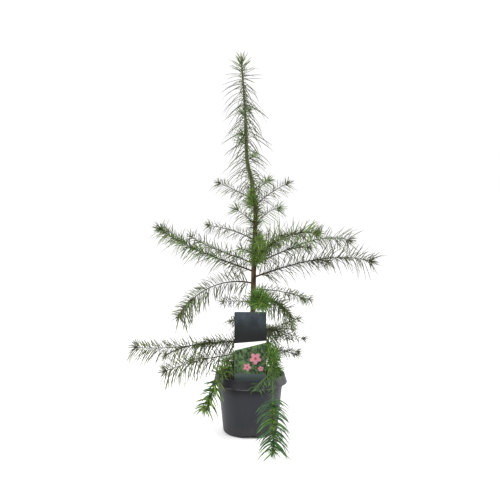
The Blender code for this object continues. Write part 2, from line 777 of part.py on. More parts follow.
def make_leader(room, green):
    """Three green sleeves round the top of the trunk, with their needles."""
    tip = TRUNK[-1][0]
    crown = LEADER["leader_top"][1]
    row = 0
    for index, (name, (low, high)) in enumerate(LEADER.items()):
        chance = random.Random(SEED * 200 + index)
        mass = sleeve(name, green)
        parts = []
        z = low + LEADER_ENDS[0]
        while z < high - LEADER_ENDS[1]:
            centre, radius = trunk_at(min(z, tip))
            centre.z = z
            around = 2 * math.pi * (LEADER_SPIRAL * row + 0.5 / TRUNK_SIDES)
            way = leader_way(z, around)
            wall = radius + SLEEVE_GAP + SLEEVE_WALL * (1 - ROOT_DEPTH)
            root = centre + (heading(math.degrees(around)) * wall if z < tip else Vector())
            length = LEADER_NEEDLE * between(LEADER_SHORT, min((crown - z) / LEADER_GROWN, 1))
            length *= 1 + chance.uniform(-NEEDLE_SPREAD, NEEDLE_SPREAD)
            if has_room(name, root, way, length, SLEEVE_WALL, room):
                width = min(NEEDLE_WIDTH, ROOT_SHARE * face_width(wall, TRUNK_SIDES))
                parts.append(needle(f"{name}_needle_{len(parts)}", root, way, length, width, green))
                room.add(root + way * SLEEVE_WALL, root + way * length, NEEDLE_WIDTH / 2, name)
            row += 1
            z += LEADER_SPACING
        combine(mass, parts, "UNION")


def main():
    for old in list(bpy.data.objects):
        bpy.data.objects.remove(old)
    bark = material("bark", (0.14, 0.075, 0.04), 0.85)
    green = material("needle_green", (0.11, 0.24, 0.04), 0.55)
    plastic = material("pot_plastic", (0.055, 0.055, 0.06), 0.5)
    compost = material("compost", (0.03, 0.022, 0.016), 0.95)
    card = material("card_print", (0.03, 0.04, 0.05), 0.35)
    make_pot(plastic)
    make_soil(compost)
    make_card(card)
    make_trunk(bark)
    room = Room()
    trunk = [trunk_at(z) for z in spread(SOIL_TOP, TRUNK[-1][0], ROD_STEP)]
    room.add_limb([centre for centre, _ in trunk], [radius + BARK_ROOM for _, radius in trunk], "trunk")
    stems = make_boughs(room, bark)
    make_leader(room, green)
    make_foliage(stems, room, green)


main()
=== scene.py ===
# %% [markdown]
# # A young larch in a nursery pot
#
# The plant's construction is fixed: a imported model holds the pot, the compost,
# the label card, the trunk, each bough and one mass of foliage for each bough.
# Here bark with real relief, thousands of single needles, moulded plastic and
# crumbly compost take the place of those plain solids, close to their shapes.
#
# All sizes are in metres. +Z is up, and the viewer stands at -Y.

# %% Load the fixed frame
import math
import random
from collections import namedtuple

import bmesh
import bpy
import numpy as np
from mathutils import Color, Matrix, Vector, noise


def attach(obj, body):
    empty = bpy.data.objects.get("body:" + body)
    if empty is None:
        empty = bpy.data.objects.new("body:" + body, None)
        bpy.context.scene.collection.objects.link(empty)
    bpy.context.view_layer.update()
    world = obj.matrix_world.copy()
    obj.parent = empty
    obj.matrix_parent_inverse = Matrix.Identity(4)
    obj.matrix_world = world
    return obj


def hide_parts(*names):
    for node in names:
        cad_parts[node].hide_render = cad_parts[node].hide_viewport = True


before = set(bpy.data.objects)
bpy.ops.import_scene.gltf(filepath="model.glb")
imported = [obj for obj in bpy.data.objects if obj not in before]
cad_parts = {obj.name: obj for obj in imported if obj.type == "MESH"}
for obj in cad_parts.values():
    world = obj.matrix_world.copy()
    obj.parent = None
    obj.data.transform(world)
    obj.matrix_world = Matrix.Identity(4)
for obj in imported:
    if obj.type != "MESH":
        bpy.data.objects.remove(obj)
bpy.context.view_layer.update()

UP = Vector((0, 0, 1))
ACROSS = Vector((1, 0, 0))
SEED = 41
BODY = "root"

# %% [markdown]
# ## The camera
#
# The ellipses that the rim and the foot of the pot make in a photograph give
# the height of the eye, its distance and its tilt. The focal length stays in
# pixels of a square picture, because that is how it was measured.

# %% The camera
EYE = (0.0, -2.5, 0.778)
EYE_DOWN = 6.95  # degrees below level
PICTURE_PIXELS = 500
FOCAL_PIXELS = 991
SHIFT_PIXELS = -0.3
SENSOR = 36.0  # millimetres


def put_in_scene(name, data):
    """A new object in the scene that shows some data."""
    made = bpy.data.objects.new(name, data)
    bpy.context.scene.collection.objects.link(made)
    return made


lens = bpy.data.cameras.new("viewer")
lens.sensor_width = SENSOR
lens.lens = FOCAL_PIXELS / PICTURE_PIXELS * SENSOR
lens.shift_x = SHIFT_PIXELS / PICTURE_PIXELS
camera = put_in_scene("viewer", lens)
camera.location = EYE
camera.rotation_euler = (math.radians(90 - EYE_DOWN), 0, 0)
bpy.context.scene.camera = camera
print("lens:", round(lens.lens, 2), "mm")

# %% [markdown]
# ## Building node trees with a few helpers
#
# A node tree reads best when each node is one call that names its kind, its
# settings and what feeds it. `add` does that: a number or a colour goes into
# a socket, and another node's output goes in as a link.

# %% Helpers for node trees
def add(tree, kind, inputs=None, **settings):
    """Adds a node with its settings, and fills or links its inputs."""
    node = tree.nodes.new(kind)
    for key, value in settings.items():
        setattr(node, key, value)
    for key, value in (inputs or {}).items():
        if isinstance(value, bpy.types.NodeSocket):
            tree.links.new(value, node.inputs[key])
        else:
            node.inputs[key].default_value = value
    return node


def math_node(tree, operation, *operands, clamp=False):
    """The output of a Math node. Each operand is a socket or a number."""
    values = dict(enumerate(operands))
    return add(tree, "ShaderNodeMath", values, operation=operation, use_clamp=clamp).outputs[0]


def plus(tree, first, second):
    return math_node(tree, "ADD", first, second)


def minus(tree, first, second):
    return math_node(tree, "SUBTRACT", first, second)


def times(tree, first, second):
    return math_node(tree, "MULTIPLY", first, second)


print("short names for sums:", plus.__name__, minus.__name__, times.__name__)


# %% Helpers for colours, steps and places
def mix_colours(tree, share, low, high):
    """The output of a Mix node that blends two colours."""
    return add(tree, "ShaderNodeMix", {0: share, 6: low, 7: high}, data_type="RGBA").outputs[2]


def ramp_up(tree, value, start, end):
    """A smooth step: 0 below start and 1 above end."""
    values = {0: value, 1: start, 2: end}
    return add(tree, "ShaderNodeMapRange", values, interpolation_type="SMOOTHSTEP").outputs[0]


def vector_of(tree, x=0.0, y=0.0, z=0.0):
    """The output of a Combine XYZ node."""
    return add(tree, "ShaderNodeCombineXYZ", {"X": x, "Y": y, "Z": z}).outputs[0]


def object_place(tree):
    """The X, Y and Z of a point of the object, as three outputs."""
    place = add(tree, "ShaderNodeTexCoord").outputs["Object"]
    return add(tree, "ShaderNodeSeparateXYZ", {0: place}).outputs


print("short names for nodes:", mix_colours.__name__, ramp_up.__name__, object_place.__name__)


# %% Helpers for node groups
def use(tree, group, *values, label=""):
    """A node that uses a group, with values or sockets for the first of its inputs, in their order."""
    return add(tree, "ShaderNodeGroup", dict(enumerate(values)), node_tree=group, label=label)


def new_group(name, kind, inputs, outputs):
    """An empty group with named sockets, and the ends that it is wired between."""
    tree = bpy.data.node_groups.new(name, kind)
    for label, socket, value in inputs:
        made = tree.interface.new_socket(label, in_out="INPUT", socket_type=socket)
        if value is not None:
            made.default_value = value
    for label, socket in outputs:
        tree.interface.new_socket(label, in_out="OUTPUT", socket_type=socket)
    return tree, tree.nodes.new("NodeGroupInput").outputs, tree.nodes.new("NodeGroupOutput").inputs


print("short names for groups:", use.__name__, new_group.__name__)

# %% [markdown]
# ### Colours as a screen shows them
#
# A colour is easiest to judge as a screen shows it, with parts from 0 to 255.
# Shaders work in linear light, so it goes through the sRGB curve first.

# %% Screen colours in linear light
SCREEN_FULL = 255


def rgb(*parts):
    """A screen colour in the linear form that shaders use."""
    return (*Color([part / SCREEN_FULL for part in parts]).from_srgb_to_scene_linear(), 1.0)


print("a mid grey in linear light:", [round(v, 3) for v in rgb(128, 128, 128)])

# %% [markdown]
# ## Effects that several finishes share
#
# Bark, needles, plastic and compost all vary in tone, each at its own scale.
# Instead of building that variation four times, it is one shader group,
# `mottle`, with two tones and the scale as inputs. `grain` is its partner for
# relief: it puts out a height that a Bump node in the material reads. Both
# follow the object's own coordinates, so a pattern never slides.

# %% Shader group: mottle
FLOAT, COLOUR = "NodeSocketFloat", "NodeSocketColor"
MOTTLE_NOISE = {"Detail": 5.0, "Roughness": 0.62}
GRAIN_NOISE = {"Detail": 6.0, "Roughness": 0.6}
GRAIN_EDGE = 0.25  # width of the cracks, as a share of a plate


def stretched_place(tree, stretch):
    """Object coordinates with the height multiplied by stretch."""
    place = add(tree, "ShaderNodeTexCoord").outputs["Object"]
    scale = vector_of(tree, 1.0, 1.0, stretch)
    return add(tree, "ShaderNodeVectorMath", {0: place, 1: scale}, operation="MULTIPLY").outputs[0]


def make_mottle():
    tree, given, result = new_group(
        "mottle", "ShaderNodeTree",
        [("Scale", FLOAT, 40.0), ("Stretch", FLOAT, 1.0), ("Softness", FLOAT, 0.2),
         ("Dark", COLOUR, None), ("Light", COLOUR, None)],
        [("Color", COLOUR), ("Mask", FLOAT)])
    where = {"Vector": stretched_place(tree, given["Stretch"]), "Scale": given["Scale"]}
    cloud = add(tree, "ShaderNodeTexNoise", {**where, **MOTTLE_NOISE}).outputs["Fac"]
    low, high = minus(tree, 0.5, given["Softness"]), plus(tree, 0.5, given["Softness"])
    mask = ramp_up(tree, cloud, low, high)
    tree.links.new(mask, result["Mask"])
    tree.links.new(mix_colours(tree, mask, given["Dark"], given["Light"]), result["Color"])
    return tree


mottle = make_mottle()
print("mottle has", len(mottle.nodes), "nodes")


# %% Shader group: grain
def make_grain():
    tree, given, result = new_group(
        "grain", "ShaderNodeTree",
        [("Scale", FLOAT, 300.0), ("Stretch", FLOAT, 1.0), ("Cracks", FLOAT, 0.5)],
        [("Height", FLOAT)])
    where = {"Vector": stretched_place(tree, given["Stretch"]), "Scale": given["Scale"]}
    cloud = add(tree, "ShaderNodeTexNoise", {**where, **GRAIN_NOISE}).outputs["Fac"]
    cells = add(tree, "ShaderNodeTexVoronoi", where, feature="DISTANCE_TO_EDGE").outputs["Distance"]
    plates = times(tree, ramp_up(tree, cells, 0.0, GRAIN_EDGE), given["Cracks"])
    tree.links.new(plus(tree, cloud, plates), result["Height"])
    return tree


grain = make_grain()
print("grain has", len(grain.nodes), "nodes")

# %% [markdown]
# ## A recipe for a finish
#
# Every material starts with a Principled shader, a colour from `mottle` and a
# bump from `grain`. The recipe takes the values that make one finish differ
# from the next. Numbers that are the same all over a surface, such as how
# strongly a needle mirrors light, are set on the shader's own sockets.

# %% The recipe
BUMP_STRENGTH = 0.6


def finish(name, dark, light, roughness, tone, relief, depth, shine=None):
    """A material. Tone is scale, stretch and softness for mottle, and relief scale, stretch and cracks."""
    made = bpy.data.materials.new(name)
    made.use_nodes = True
    tree = made.node_tree
    shader = tree.nodes["Principled BSDF"]
    shader.inputs["Roughness"].default_value = roughness
    if shine is not None:
        shader.inputs["Specular IOR Level"].default_value = shine
    colour = use(tree, mottle, *tone, dark, light, label="tone")
    height = use(tree, grain, *relief, label="relief").outputs["Height"]
    bump = add(tree, "ShaderNodeBump", {"Height": height, "Distance": depth, "Strength": BUMP_STRENGTH})
    tree.links.new(colour.outputs["Color"], shader.inputs["Base Color"])
    tree.links.new(bump.outputs["Normal"], shader.inputs["Normal"])
    return made


def parts_of(made):
    """The tree, the shader and the colour group of a finish, for what it needs beyond the recipe."""
    tree = made.node_tree
    return tree, tree.nodes["Principled BSDF"], next(n for n in tree.nodes if n.label == "tone")


print("bumps are given at a strength of", BUMP_STRENGTH)

# %% [markdown]
# ## The pot: a shape with a rule
#
# A nursery pot is moulded in one shot of recycled plastic. Its section is one
# closed outline turned about an axis: a flat pad and a foot ring with a
# channel between them, a tapering wall, and a skirt that flares from the rim
# down to a rounded lip, so that pots can be lifted and stacked. The outline
# could be spun with a Screw modifier, but then each ring would be welded by
# distance. Walking round it in code keeps the rounded edges as fine as they
# need to be and closes the middle with single points.

# %% Sizes of the pot
POT_SIDES = 96
POT_HEIGHT = 0.154
POT_BASE_RADIUS = 0.0695
POT_FLARE = 0.105  # growth of the radius for each metre of height
POT_WALL = 0.0015
POT_FLOOR_TOP = 0.0085
POT_CORNER = 0.008
PAD_RADIUS = 0.036
CHANNEL_OUTER = 0.056
CHANNEL_HEIGHT = 0.006
SKIRT_JOINT = 0.147
SKIRT_LIP = 0.1310
SKIRT_TOP_RADIUS = 0.0885
SKIRT_LIP_RADIUS = 0.095
LIP_ROUND = 0.0016
RIM_ROUND = 0.0010
SOIL_TOP = 0.142
FINE_EDGE = 0.0004


def wall_radius(height):
    """Outer radius of the pot's wall."""
    return POT_BASE_RADIUS + POT_FLARE * height


def inner_radius(height):
    """Radius of the pot's inside."""
    return wall_radius(height) - POT_WALL


def skirt_radius(height):
    """Outer radius of the flared skirt."""
    down = (POT_HEIGHT - height) / (POT_HEIGHT - SKIRT_LIP)
    return SKIRT_TOP_RADIUS + (SKIRT_LIP_RADIUS - SKIRT_TOP_RADIUS) * down


print("rim of the pot:", round(2000 * SKIRT_TOP_RADIUS), "mm, lip:", round(2000 * SKIRT_LIP_RADIUS), "mm")


# %% Turned shapes
def circle(radius, sides, start=0.0):
    """Points of a level circle about the axis, as pairs of x and y."""
    turns = [start + 2 * math.pi * i / sides for i in range(sides)]
    return [(radius * math.cos(turn), radius * math.sin(turn)) for turn in turns]


def arc(centre, radius, start, end, steps):
    """Points on a round corner, from start to end in degrees."""
    turns = [math.radians(start + (end - start) * i / steps) for i in range(steps + 1)]
    return [(centre[0] + radius * math.cos(t), centre[1] + radius * math.sin(t)) for t in turns]


def turned(profile, sides):
    """Points and faces of a profile of (radius, height) turned about Z."""
    points, rings = [], []
    for radius, height in profile:
        count = sides if radius > 0 else 1
        rings.append([len(points) + i % count for i in range(sides)])
        points += [(x, y, height) for x, y in circle(radius, sides)[:count]]
    pairs = list(zip(rings, rings[1:]))
    if profile[0][0] > 0:
        pairs.append((rings[-1], rings[0]))
    faces = []
    for lower, upper in pairs:
        for i in range(sides):
            j = (i + 1) % sides
            faces.append(list(dict.fromkeys([lower[i], lower[j], upper[j], upper[i]])))
    return points, faces


print("a ring of the pot has", len(circle(1.0, POT_SIDES)), "points")


# %% From points to a finished piece
def smooth_shading(mesh, sharp):
    """Smooth shading, with edges above an angle in degrees kept sharp."""
    mesh.shade_smooth()
    if sharp:
        mesh.set_sharp_from_angle(angle=math.radians(sharp))


def piece(name, points, faces, finish_used, sharp=None):
    """A mesh in place, with its faces outwards and its finish on."""
    mesh = bpy.data.meshes.new(name)
    mesh.from_pydata([tuple(p) for p in points], [], faces)
    work = bmesh.new()
    work.from_mesh(mesh)
    bmesh.ops.recalc_face_normals(work, faces=work.faces)
    work.to_mesh(mesh)
    work.free()
    smooth_shading(mesh, sharp)
    mesh.materials.append(finish_used)
    return put_in_scene(name, mesh)


def settle(made, slot, *nodes):
    """A finished piece rides on the body and stands for its nodes, whose plain parts it hides. Its slot is
    not used.
    """
    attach(made, BODY)
    if nodes:
        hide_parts(*nodes)
    made.data.calc_loop_triangles()
    print(made.name, "has", len(made.data.loop_triangles), "triangles")


print("pieces ride on the body", BODY)

# %% [markdown]
# ### Its finish
#
# The plastic is matt but not dull: a fine mould texture, a haze in large soft
# patches, dust of compost round the foot, and paler scuffs on the lip, which
# is the edge that rubs against its neighbours in a tray. The paler lip is
# partly a painted highlight on its rounded edge. The skirt's darker face is
# painted shade, and the wall darkens upwards under the lip into painted shade
# of the skirt. Dust, scuffs, skirt and shade are found by height, and `mottle`
# breaks up the first two, so no picture is needed.

# %% Finish of the pot
BLOTCHES = (90.0, 0.4, 0.12)  # scale, stretch and softness of dust, and of the lip's scuffs and painted highlight
DUST_TOP = 0.045
DUST_SHARE, SCUFF_AND_HIGHLIGHT_SHARE, SKIRT_SHADE_SHARE, SHADE_SHARE = 0.35, 0.65, 0.8, 0.95
# The scuff colour is partly wear and partly a painted highlight on the lip's rounded edge.
DUST_COLOUR, SCUFF_AND_HIGHLIGHT_COLOUR = rgb(74, 68, 60), rgb(98, 98, 102)
# The skirt's colour is painted shade on its flared face, and the shade colour is painted shade on the wall
# under the lip.
SKIRT_SHADE_COLOUR, SHADE_COLOUR = rgb(20, 20, 24), rgb(8, 8, 10)
SHADE_DEPTH = 0.028  # below the lip
POT_ROUGHNESS = (0.40, 0.10, 0.35)  # at its least, and what haze and dust add
pot_plastic = finish("pot_plastic", rgb(34, 35, 40), rgb(43, 44, 50), 0.42,
                     tone=(14.0, 0.5, 0.35), relief=(900.0, 1.0, 0.1), depth=0.00012, shine=0.22)


def masks_by_height(tree, height):
    """Where the foot's dust, the lip's scuffs and painted highlight, the skirt's painted shade and the
    wall's painted shade under the lip lie.
    """
    def near_lip(low, high):
        return ramp_up(tree, height, SKIRT_LIP + low, SKIRT_LIP + high)

    cloud = use(tree, mottle, *BLOTCHES).outputs["Mask"]
    dust = times(tree, minus(tree, 1.0, ramp_up(tree, height, 0.0, DUST_TOP)), cloud)
    edge = times(tree, near_lip(-0.0005, 0.0006), minus(tree, 1.0, near_lip(0.0008, 0.0042)))
    top = ramp_up(tree, height, POT_HEIGHT - 0.002, POT_HEIGHT - 0.001)
    skirt_shade = minus(tree, near_lip(0.0, 0.002), top)
    shaded = times(tree, near_lip(-SHADE_DEPTH, 0.0), minus(tree, 1.0, skirt_shade))
    shade = times(tree, math_node(tree, "LESS_THAN", height, SKIRT_LIP), shaded)
    return dust, times(tree, edge, cloud), skirt_shade, shade


def dust_scuffs_and_painted_light(made):
    tree, shader, tone = parts_of(made)
    dust, scuffs_and_highlight, skirt_shade, shade = masks_by_height(tree, object_place(tree)["Z"])
    colour = tone.outputs["Color"]
    # Skirt and shade mix in painted shade, and the scuffs are partly a painted highlight.
    for mask, share, shown in ((skirt_shade, SKIRT_SHADE_SHARE, SKIRT_SHADE_COLOUR), (shade, SHADE_SHARE, SHADE_COLOUR),
                               (dust, DUST_SHARE, DUST_COLOUR), (scuffs_and_highlight, SCUFF_AND_HIGHLIGHT_SHARE, SCUFF_AND_HIGHLIGHT_COLOUR)):
        colour = mix_colours(tree, times(tree, mask, share), colour, shown)
    tree.links.new(colour, shader.inputs["Base Color"])
    least, haze, dusty = POT_ROUGHNESS
    rough = plus(tree, least, times(tree, tone.outputs["Mask"], haze))
    tree.links.new(plus(tree, rough, times(tree, dust, dusty)), shader.inputs["Roughness"])


dust_scuffs_and_painted_light(pot_plastic)
print("the pot's finish has", len(pot_plastic.node_tree.nodes), "nodes")

# %% [markdown]
# ### Its shell, notches and drain holes
#
# Four drain notches lift the foot so that water can run out, and eight holes
# in the channel let it through the floor. They are cut with one Boolean that
# takes a whole collection of cutters, which is quicker and cleaner than
# twelve modifiers in a row. The notches have slanted sides, as moulded ones
# do, so that the pot slips off its mould.

# %% The outline of the pot's wall
def pot_outline():
    """The section of the pot as (radius, height), from the middle of its underside and back inside."""
    base = wall_radius(POT_CORNER) - POT_CORNER
    lip = SKIRT_LIP_RADIUS - LIP_ROUND
    top = SKIRT_TOP_RADIUS - RIM_ROUND
    inner = inner_radius(POT_HEIGHT) + RIM_ROUND
    return [
        (0, 0),
        *arc((PAD_RADIUS - FINE_EDGE, FINE_EDGE), FINE_EDGE, -90, 0, 2),
        (PAD_RADIUS + 2 * FINE_EDGE, CHANNEL_HEIGHT),
        (CHANNEL_OUTER - 2 * FINE_EDGE, CHANNEL_HEIGHT),
        *arc((CHANNEL_OUTER + FINE_EDGE, FINE_EDGE), FINE_EDGE, -180, -90, 2),
        *arc((base, POT_CORNER), POT_CORNER, -90, 0, 8),
        (wall_radius(SKIRT_JOINT / 2), SKIRT_JOINT / 2),
        (wall_radius(SKIRT_JOINT - 2 * FINE_EDGE), SKIRT_JOINT - 2 * FINE_EDGE),
        (wall_radius(SKIRT_JOINT) + 2 * FINE_EDGE, SKIRT_JOINT),
        (skirt_radius(SKIRT_JOINT) - POT_WALL - FINE_EDGE, SKIRT_JOINT),
        (lip - FINE_EDGE, SKIRT_LIP + LIP_ROUND),
        *arc((lip, SKIRT_LIP + LIP_ROUND), LIP_ROUND, -90, 0, 6),
        (skirt_radius(SKIRT_LIP + 3 * LIP_ROUND), SKIRT_LIP + 3 * LIP_ROUND),
        *arc((top, POT_HEIGHT - RIM_ROUND), RIM_ROUND, 0, 90, 4),
        *arc((inner, POT_HEIGHT - RIM_ROUND), RIM_ROUND, 90, 180, 4),
        (inner_radius(SOIL_TOP), SOIL_TOP),
        (inner_radius(POT_FLOOR_TOP), POT_FLOOR_TOP),
        (0, POT_FLOOR_TOP),
    ]


print("the pot's outline has", len(pot_outline()), "points")

# %% Cutters for the notches and the drain holes
NOTCH_COUNT = 4
NOTCH_START = 0.048
NOTCH_FOOT = 0.034  # width at the ground
NOTCH_TOP = 0.026
NOTCH_HEIGHT = 0.0072
DRAIN_COUNT = 8
DRAIN_RADIUS = 0.004
DRAIN_CIRCLE = 0.046
DRAIN_SIDES = 24
PAST = 0.010  # how far a cutter reaches past what it cuts


def notch_cutter(turn):
    """A block with slanted sides, from the channel out through the wall."""
    section = [(-NOTCH_FOOT / 2, -PAST), (NOTCH_FOOT / 2, -PAST), (NOTCH_FOOT / 2, 0),
               (NOTCH_TOP / 2, NOTCH_HEIGHT), (-NOTCH_TOP / 2, NOTCH_HEIGHT), (-NOTCH_FOOT / 2, 0)]
    count = len(section)
    points = [(x, y, z) for x in (NOTCH_START, wall_radius(0) + PAST) for y, z in section]
    faces = [list(range(count)), list(range(2 * count - 1, count - 1, -1))]
    faces += [(i, i + count, (i + 1) % count + count, (i + 1) % count) for i in range(count)]
    cutter = piece("notch", points, faces, pot_plastic)
    cutter.rotation_euler = (0, 0, turn)
    return cutter


def drain_cutter(x, y):
    """A round bar through the floor of the channel."""
    low, high = -PAST, POT_FLOOR_TOP + PAST
    profile = [(0, low), (DRAIN_RADIUS, low), (DRAIN_RADIUS, high), (0, high)]
    cutter = piece("drain", *turned(profile, DRAIN_SIDES), pot_plastic)
    cutter.location = (x, y, 0)
    return cutter


notches = [notch_cutter(2 * math.pi * i / NOTCH_COUNT) for i in range(NOTCH_COUNT)]
drains = [drain_cutter(x, y) for x, y in circle(DRAIN_CIRCLE, DRAIN_COUNT, math.pi / DRAIN_COUNT)]
print(len(notches), "notches and", len(drains), "drain holes to cut")

# %% The shell
POT_SHARP = 35  # degrees


def cut(target, cutters):
    """Takes a collection of cutters out of a piece and removes them."""
    group = bpy.data.collections.new("cutters")
    bpy.context.scene.collection.children.link(group)
    for cutter in cutters:
        bpy.context.scene.collection.objects.unlink(cutter)
        group.objects.link(cutter)
    change = target.modifiers.new("cut", "BOOLEAN")
    change.operation, change.solver = "DIFFERENCE", "EXACT"
    change.operand_type, change.collection = "COLLECTION", group
    view = bpy.context.evaluated_depsgraph_get()
    target.data = bpy.data.meshes.new_from_object(target.evaluated_get(view))
    target.modifiers.clear()
    for cutter in cutters:
        bpy.data.objects.remove(cutter)
    bpy.data.collections.remove(group)


pot_shell = piece("pot_shell", *turned(pot_outline(), POT_SIDES), pot_plastic)
cut(pot_shell, notches + drains)
smooth_shading(pot_shell.data, POT_SHARP)
settle(pot_shell, "pot_plastic", "pot")

# %% [markdown]
# ## Compost, and what lies on it
#
# Potting compost is a crumbly mix of dark peat and paler shreds of bark. A
# flat disc would look like a lid, so the bed is a disc of rings whose heights
# follow two scales of noise, drawn down a little at the wall where watering
# washes it. It is closed below, like the solid that it stands for.

# %% The bed of compost
BED_RINGS = 44
BED_SIDES = 128
BED_GAP = 0.0003
BED_TOP = SOIL_TOP - 0.0004
BED_LUMPS = (0.0022, 55, 3.1)  # height and pitch of the larger lumps, and their place in the noise
BED_CRUMBS = (0.0012, 210, 7.7)
BED_SINK = 0.0016  # how far the surface drops at the wall
compost = finish("compost", rgb(14, 10, 8), rgb(46, 34, 26), 0.95,
                 tone=(260.0, 1.0, 0.16), relief=(420.0, 1.0, 0.8), depth=0.0012, shine=0.2)


def bed_height(x, y):
    out = math.hypot(x, y) / inner_radius(SOIL_TOP)
    bumps = sum(height * noise.noise(Vector((x * pitch, y * pitch, layer)))
                for height, pitch, layer in (BED_LUMPS, BED_CRUMBS))
    return BED_TOP + bumps - BED_SINK * out**6


def make_bed():
    edge = inner_radius(SOIL_TOP) - BED_GAP
    foot = POT_FLOOR_TOP + BED_GAP
    points = [(0, 0, bed_height(0, 0))]
    for ring in range(1, BED_RINGS + 1):
        points += [(x, y, bed_height(x, y)) for x, y in circle(edge * ring / BED_RINGS, BED_SIDES)]
    points += [(x, y, foot) for x, y in circle(inner_radius(foot) - BED_GAP, BED_SIDES)]
    points.append((0, 0, foot))
    last = len(points) - 1
    faces = []
    for i in range(BED_SIDES):
        j = (i + 1) % BED_SIDES
        faces.append((0, 1 + i, 1 + j))
        for ring in range(BED_RINGS):
            a, b = 1 + ring * BED_SIDES, 1 + (ring + 1) * BED_SIDES
            faces.append((a + i, b + i, b + j, a + j))
        faces.append((last, last - BED_SIDES + j, last - BED_SIDES + i))
    return piece("compost_bed", points, faces, compost)


compost_bed = make_bed()
settle(compost_bed, "compost", "soil")

# %% [markdown]
# ### Shreds of bark, scattered by Geometry Nodes
#
# The shreds repeat hundreds of times, so a small Geometry Nodes tree makes
# them: it scatters points on the bed where it faces up, puts a short chip on
# each, turns and scales it by chance, and realizes the copies. A second call
# with other values makes the paler fibres. `grown` runs a tree once and keeps
# a plain mesh.

# %% Helpers for Geometry Nodes
GEOMETRY, INTEGER, MATERIAL = "NodeSocketGeometry", "NodeSocketInt", "NodeSocketMaterial"


def grown(name, base, tree, values):
    """Runs a tree on a base object, which it uses up, and returns the plain result."""
    change = base.modifiers.new("grow", "NODES")
    change.node_group = tree
    for item in tree.interface.items_tree:
        if item.in_out == "INPUT" and item.name in values:
            change[item.identifier] = values[item.name]
    view = bpy.context.evaluated_depsgraph_get()
    result = base.evaluated_get(view)
    mesh = bpy.data.meshes.new_from_object(result, preserve_all_data_layers=True, depsgraph=view)
    base.modifiers.remove(change)
    bpy.data.objects.remove(base)
    return put_in_scene(name, mesh)


def end_tree(tree, copies, offset, material, result):
    """Realizes the copies, moves their points by an offset, and gives them their material."""
    whole = add(tree, "GeometryNodeRealizeInstances", {"Geometry": copies.outputs[0]})
    placed = add(tree, "GeometryNodeSetPosition", {"Geometry": whole.outputs[0], "Offset": offset})
    coated = add(tree, "GeometryNodeSetMaterial", {"Geometry": placed.outputs[0], "Material": material})
    tree.links.new(coated.outputs[0], result["Geometry"])
    return tree


print("sockets for a tree:", GEOMETRY, INTEGER, MATERIAL)

# %% The tree that scatters chips
FACES_UP = 0.6  # least upward part of a face's normal that counts as facing up


def make_scatter():
    tree, given, result = new_group(
        "scattered_chips", "GeometryNodeTree",
        [("Geometry", GEOMETRY, None), ("Density", FLOAT, 9000.0), ("Length", FLOAT, 0.008),
         ("Width", FLOAT, 0.003), ("Thickness", FLOAT, 0.0012), ("Lift", FLOAT, 0.0), ("Tilt", FLOAT, 0.5),
         ("Least scale", FLOAT, 0.4), ("Seed", INTEGER, SEED), ("Material", MATERIAL, None)],
        [("Geometry", GEOMETRY)])
    normal = add(tree, "GeometryNodeInputNormal").outputs[0]
    facing = add(tree, "ShaderNodeSeparateXYZ", {0: normal}).outputs["Z"]
    upward = add(tree, "FunctionNodeCompare", {0: facing, 1: FACES_UP}, operation="GREATER_THAN").outputs[0]
    where = {"Mesh": given["Geometry"], "Selection": upward, "Density": given["Density"]}
    points = add(tree, "GeometryNodeDistributePointsOnFaces", {**where, "Seed": given["Seed"]},
                 distribute_method="RANDOM")
    size = vector_of(tree, given["Length"], given["Width"], given["Thickness"])
    ball = add(tree, "GeometryNodeMeshIcoSphere", {"Radius": 0.5, "Subdivisions": 1})
    chip = add(tree, "GeometryNodeTransform", {"Geometry": ball.outputs["Mesh"], "Scale": size})
    steep = vector_of(tree, given["Tilt"], given["Tilt"], math.pi)
    other = add(tree, "ShaderNodeVectorMath", {0: steep, 1: (-1, -1, -1)}, operation="MULTIPLY").outputs[0]
    turn = add(tree, "FunctionNodeRandomValue", {"Min": other, "Max": steep, "Seed": given["Seed"]},
               data_type="FLOAT_VECTOR").outputs["Value"]
    grow = add(tree, "FunctionNodeRandomValue", {2: given["Least scale"], "Seed": given["Seed"]},
               data_type="FLOAT")
    copies = add(tree, "GeometryNodeInstanceOnPoints",
                 {"Points": points.outputs["Points"], "Instance": chip.outputs[0], "Rotation": turn,
                  "Scale": grow.outputs[1]})
    return end_tree(tree, copies, vector_of(tree, z=given["Lift"]), given["Material"], result)


scatter = make_scatter()
print("the scatter tree has", len(scatter.nodes), "nodes")

# %% Shreds and fibres on the compost
bark_shred = finish("bark_shred", rgb(28, 18, 12), rgb(72, 50, 34), 0.9,
                    tone=(120.0, 1.0, 0.2), relief=(700.0, 1.0, 0.4), depth=0.0003, shine=0.2)
pale_fibre = finish("pale_fibre", rgb(70, 54, 38), rgb(116, 94, 70), 0.85,
                    tone=(90.0, 1.0, 0.25), relief=(900.0, 1.0, 0.2), depth=0.0001)
LITTER_LABELS = ("Density", "Length", "Width", "Thickness", "Lift", "Tilt", "Least scale", "Seed",
                 "Material")
BED_LITTER = {  # a value for each of those labels
    "compost_shreds": (21000.0, 0.0075, 0.0032, 0.0017, 0.0003, 0.45, 0.35, SEED, bark_shred),
    "compost_fibres": (4200.0, 0.0120, 0.0006, 0.0005, 0.0011, 0.25, 0.4, SEED + 1, pale_fibre),
}


def inside_the_rim(litter):
    """Removes the litter that would stick through the wall of the pot."""
    work = bmesh.new()
    work.from_mesh(litter.data)
    waiting = [v for v in work.verts if math.hypot(v.co.x, v.co.y) > inner_radius(v.co.z) - BED_GAP]
    through = set()
    while waiting:
        here = waiting.pop()
        if here not in through:
            through.add(here)
            waiting += [edge.other_vert(here) for edge in here.link_edges]
    bmesh.ops.delete(work, geom=list(through), context="VERTS")
    work.to_mesh(litter.data)
    work.free()


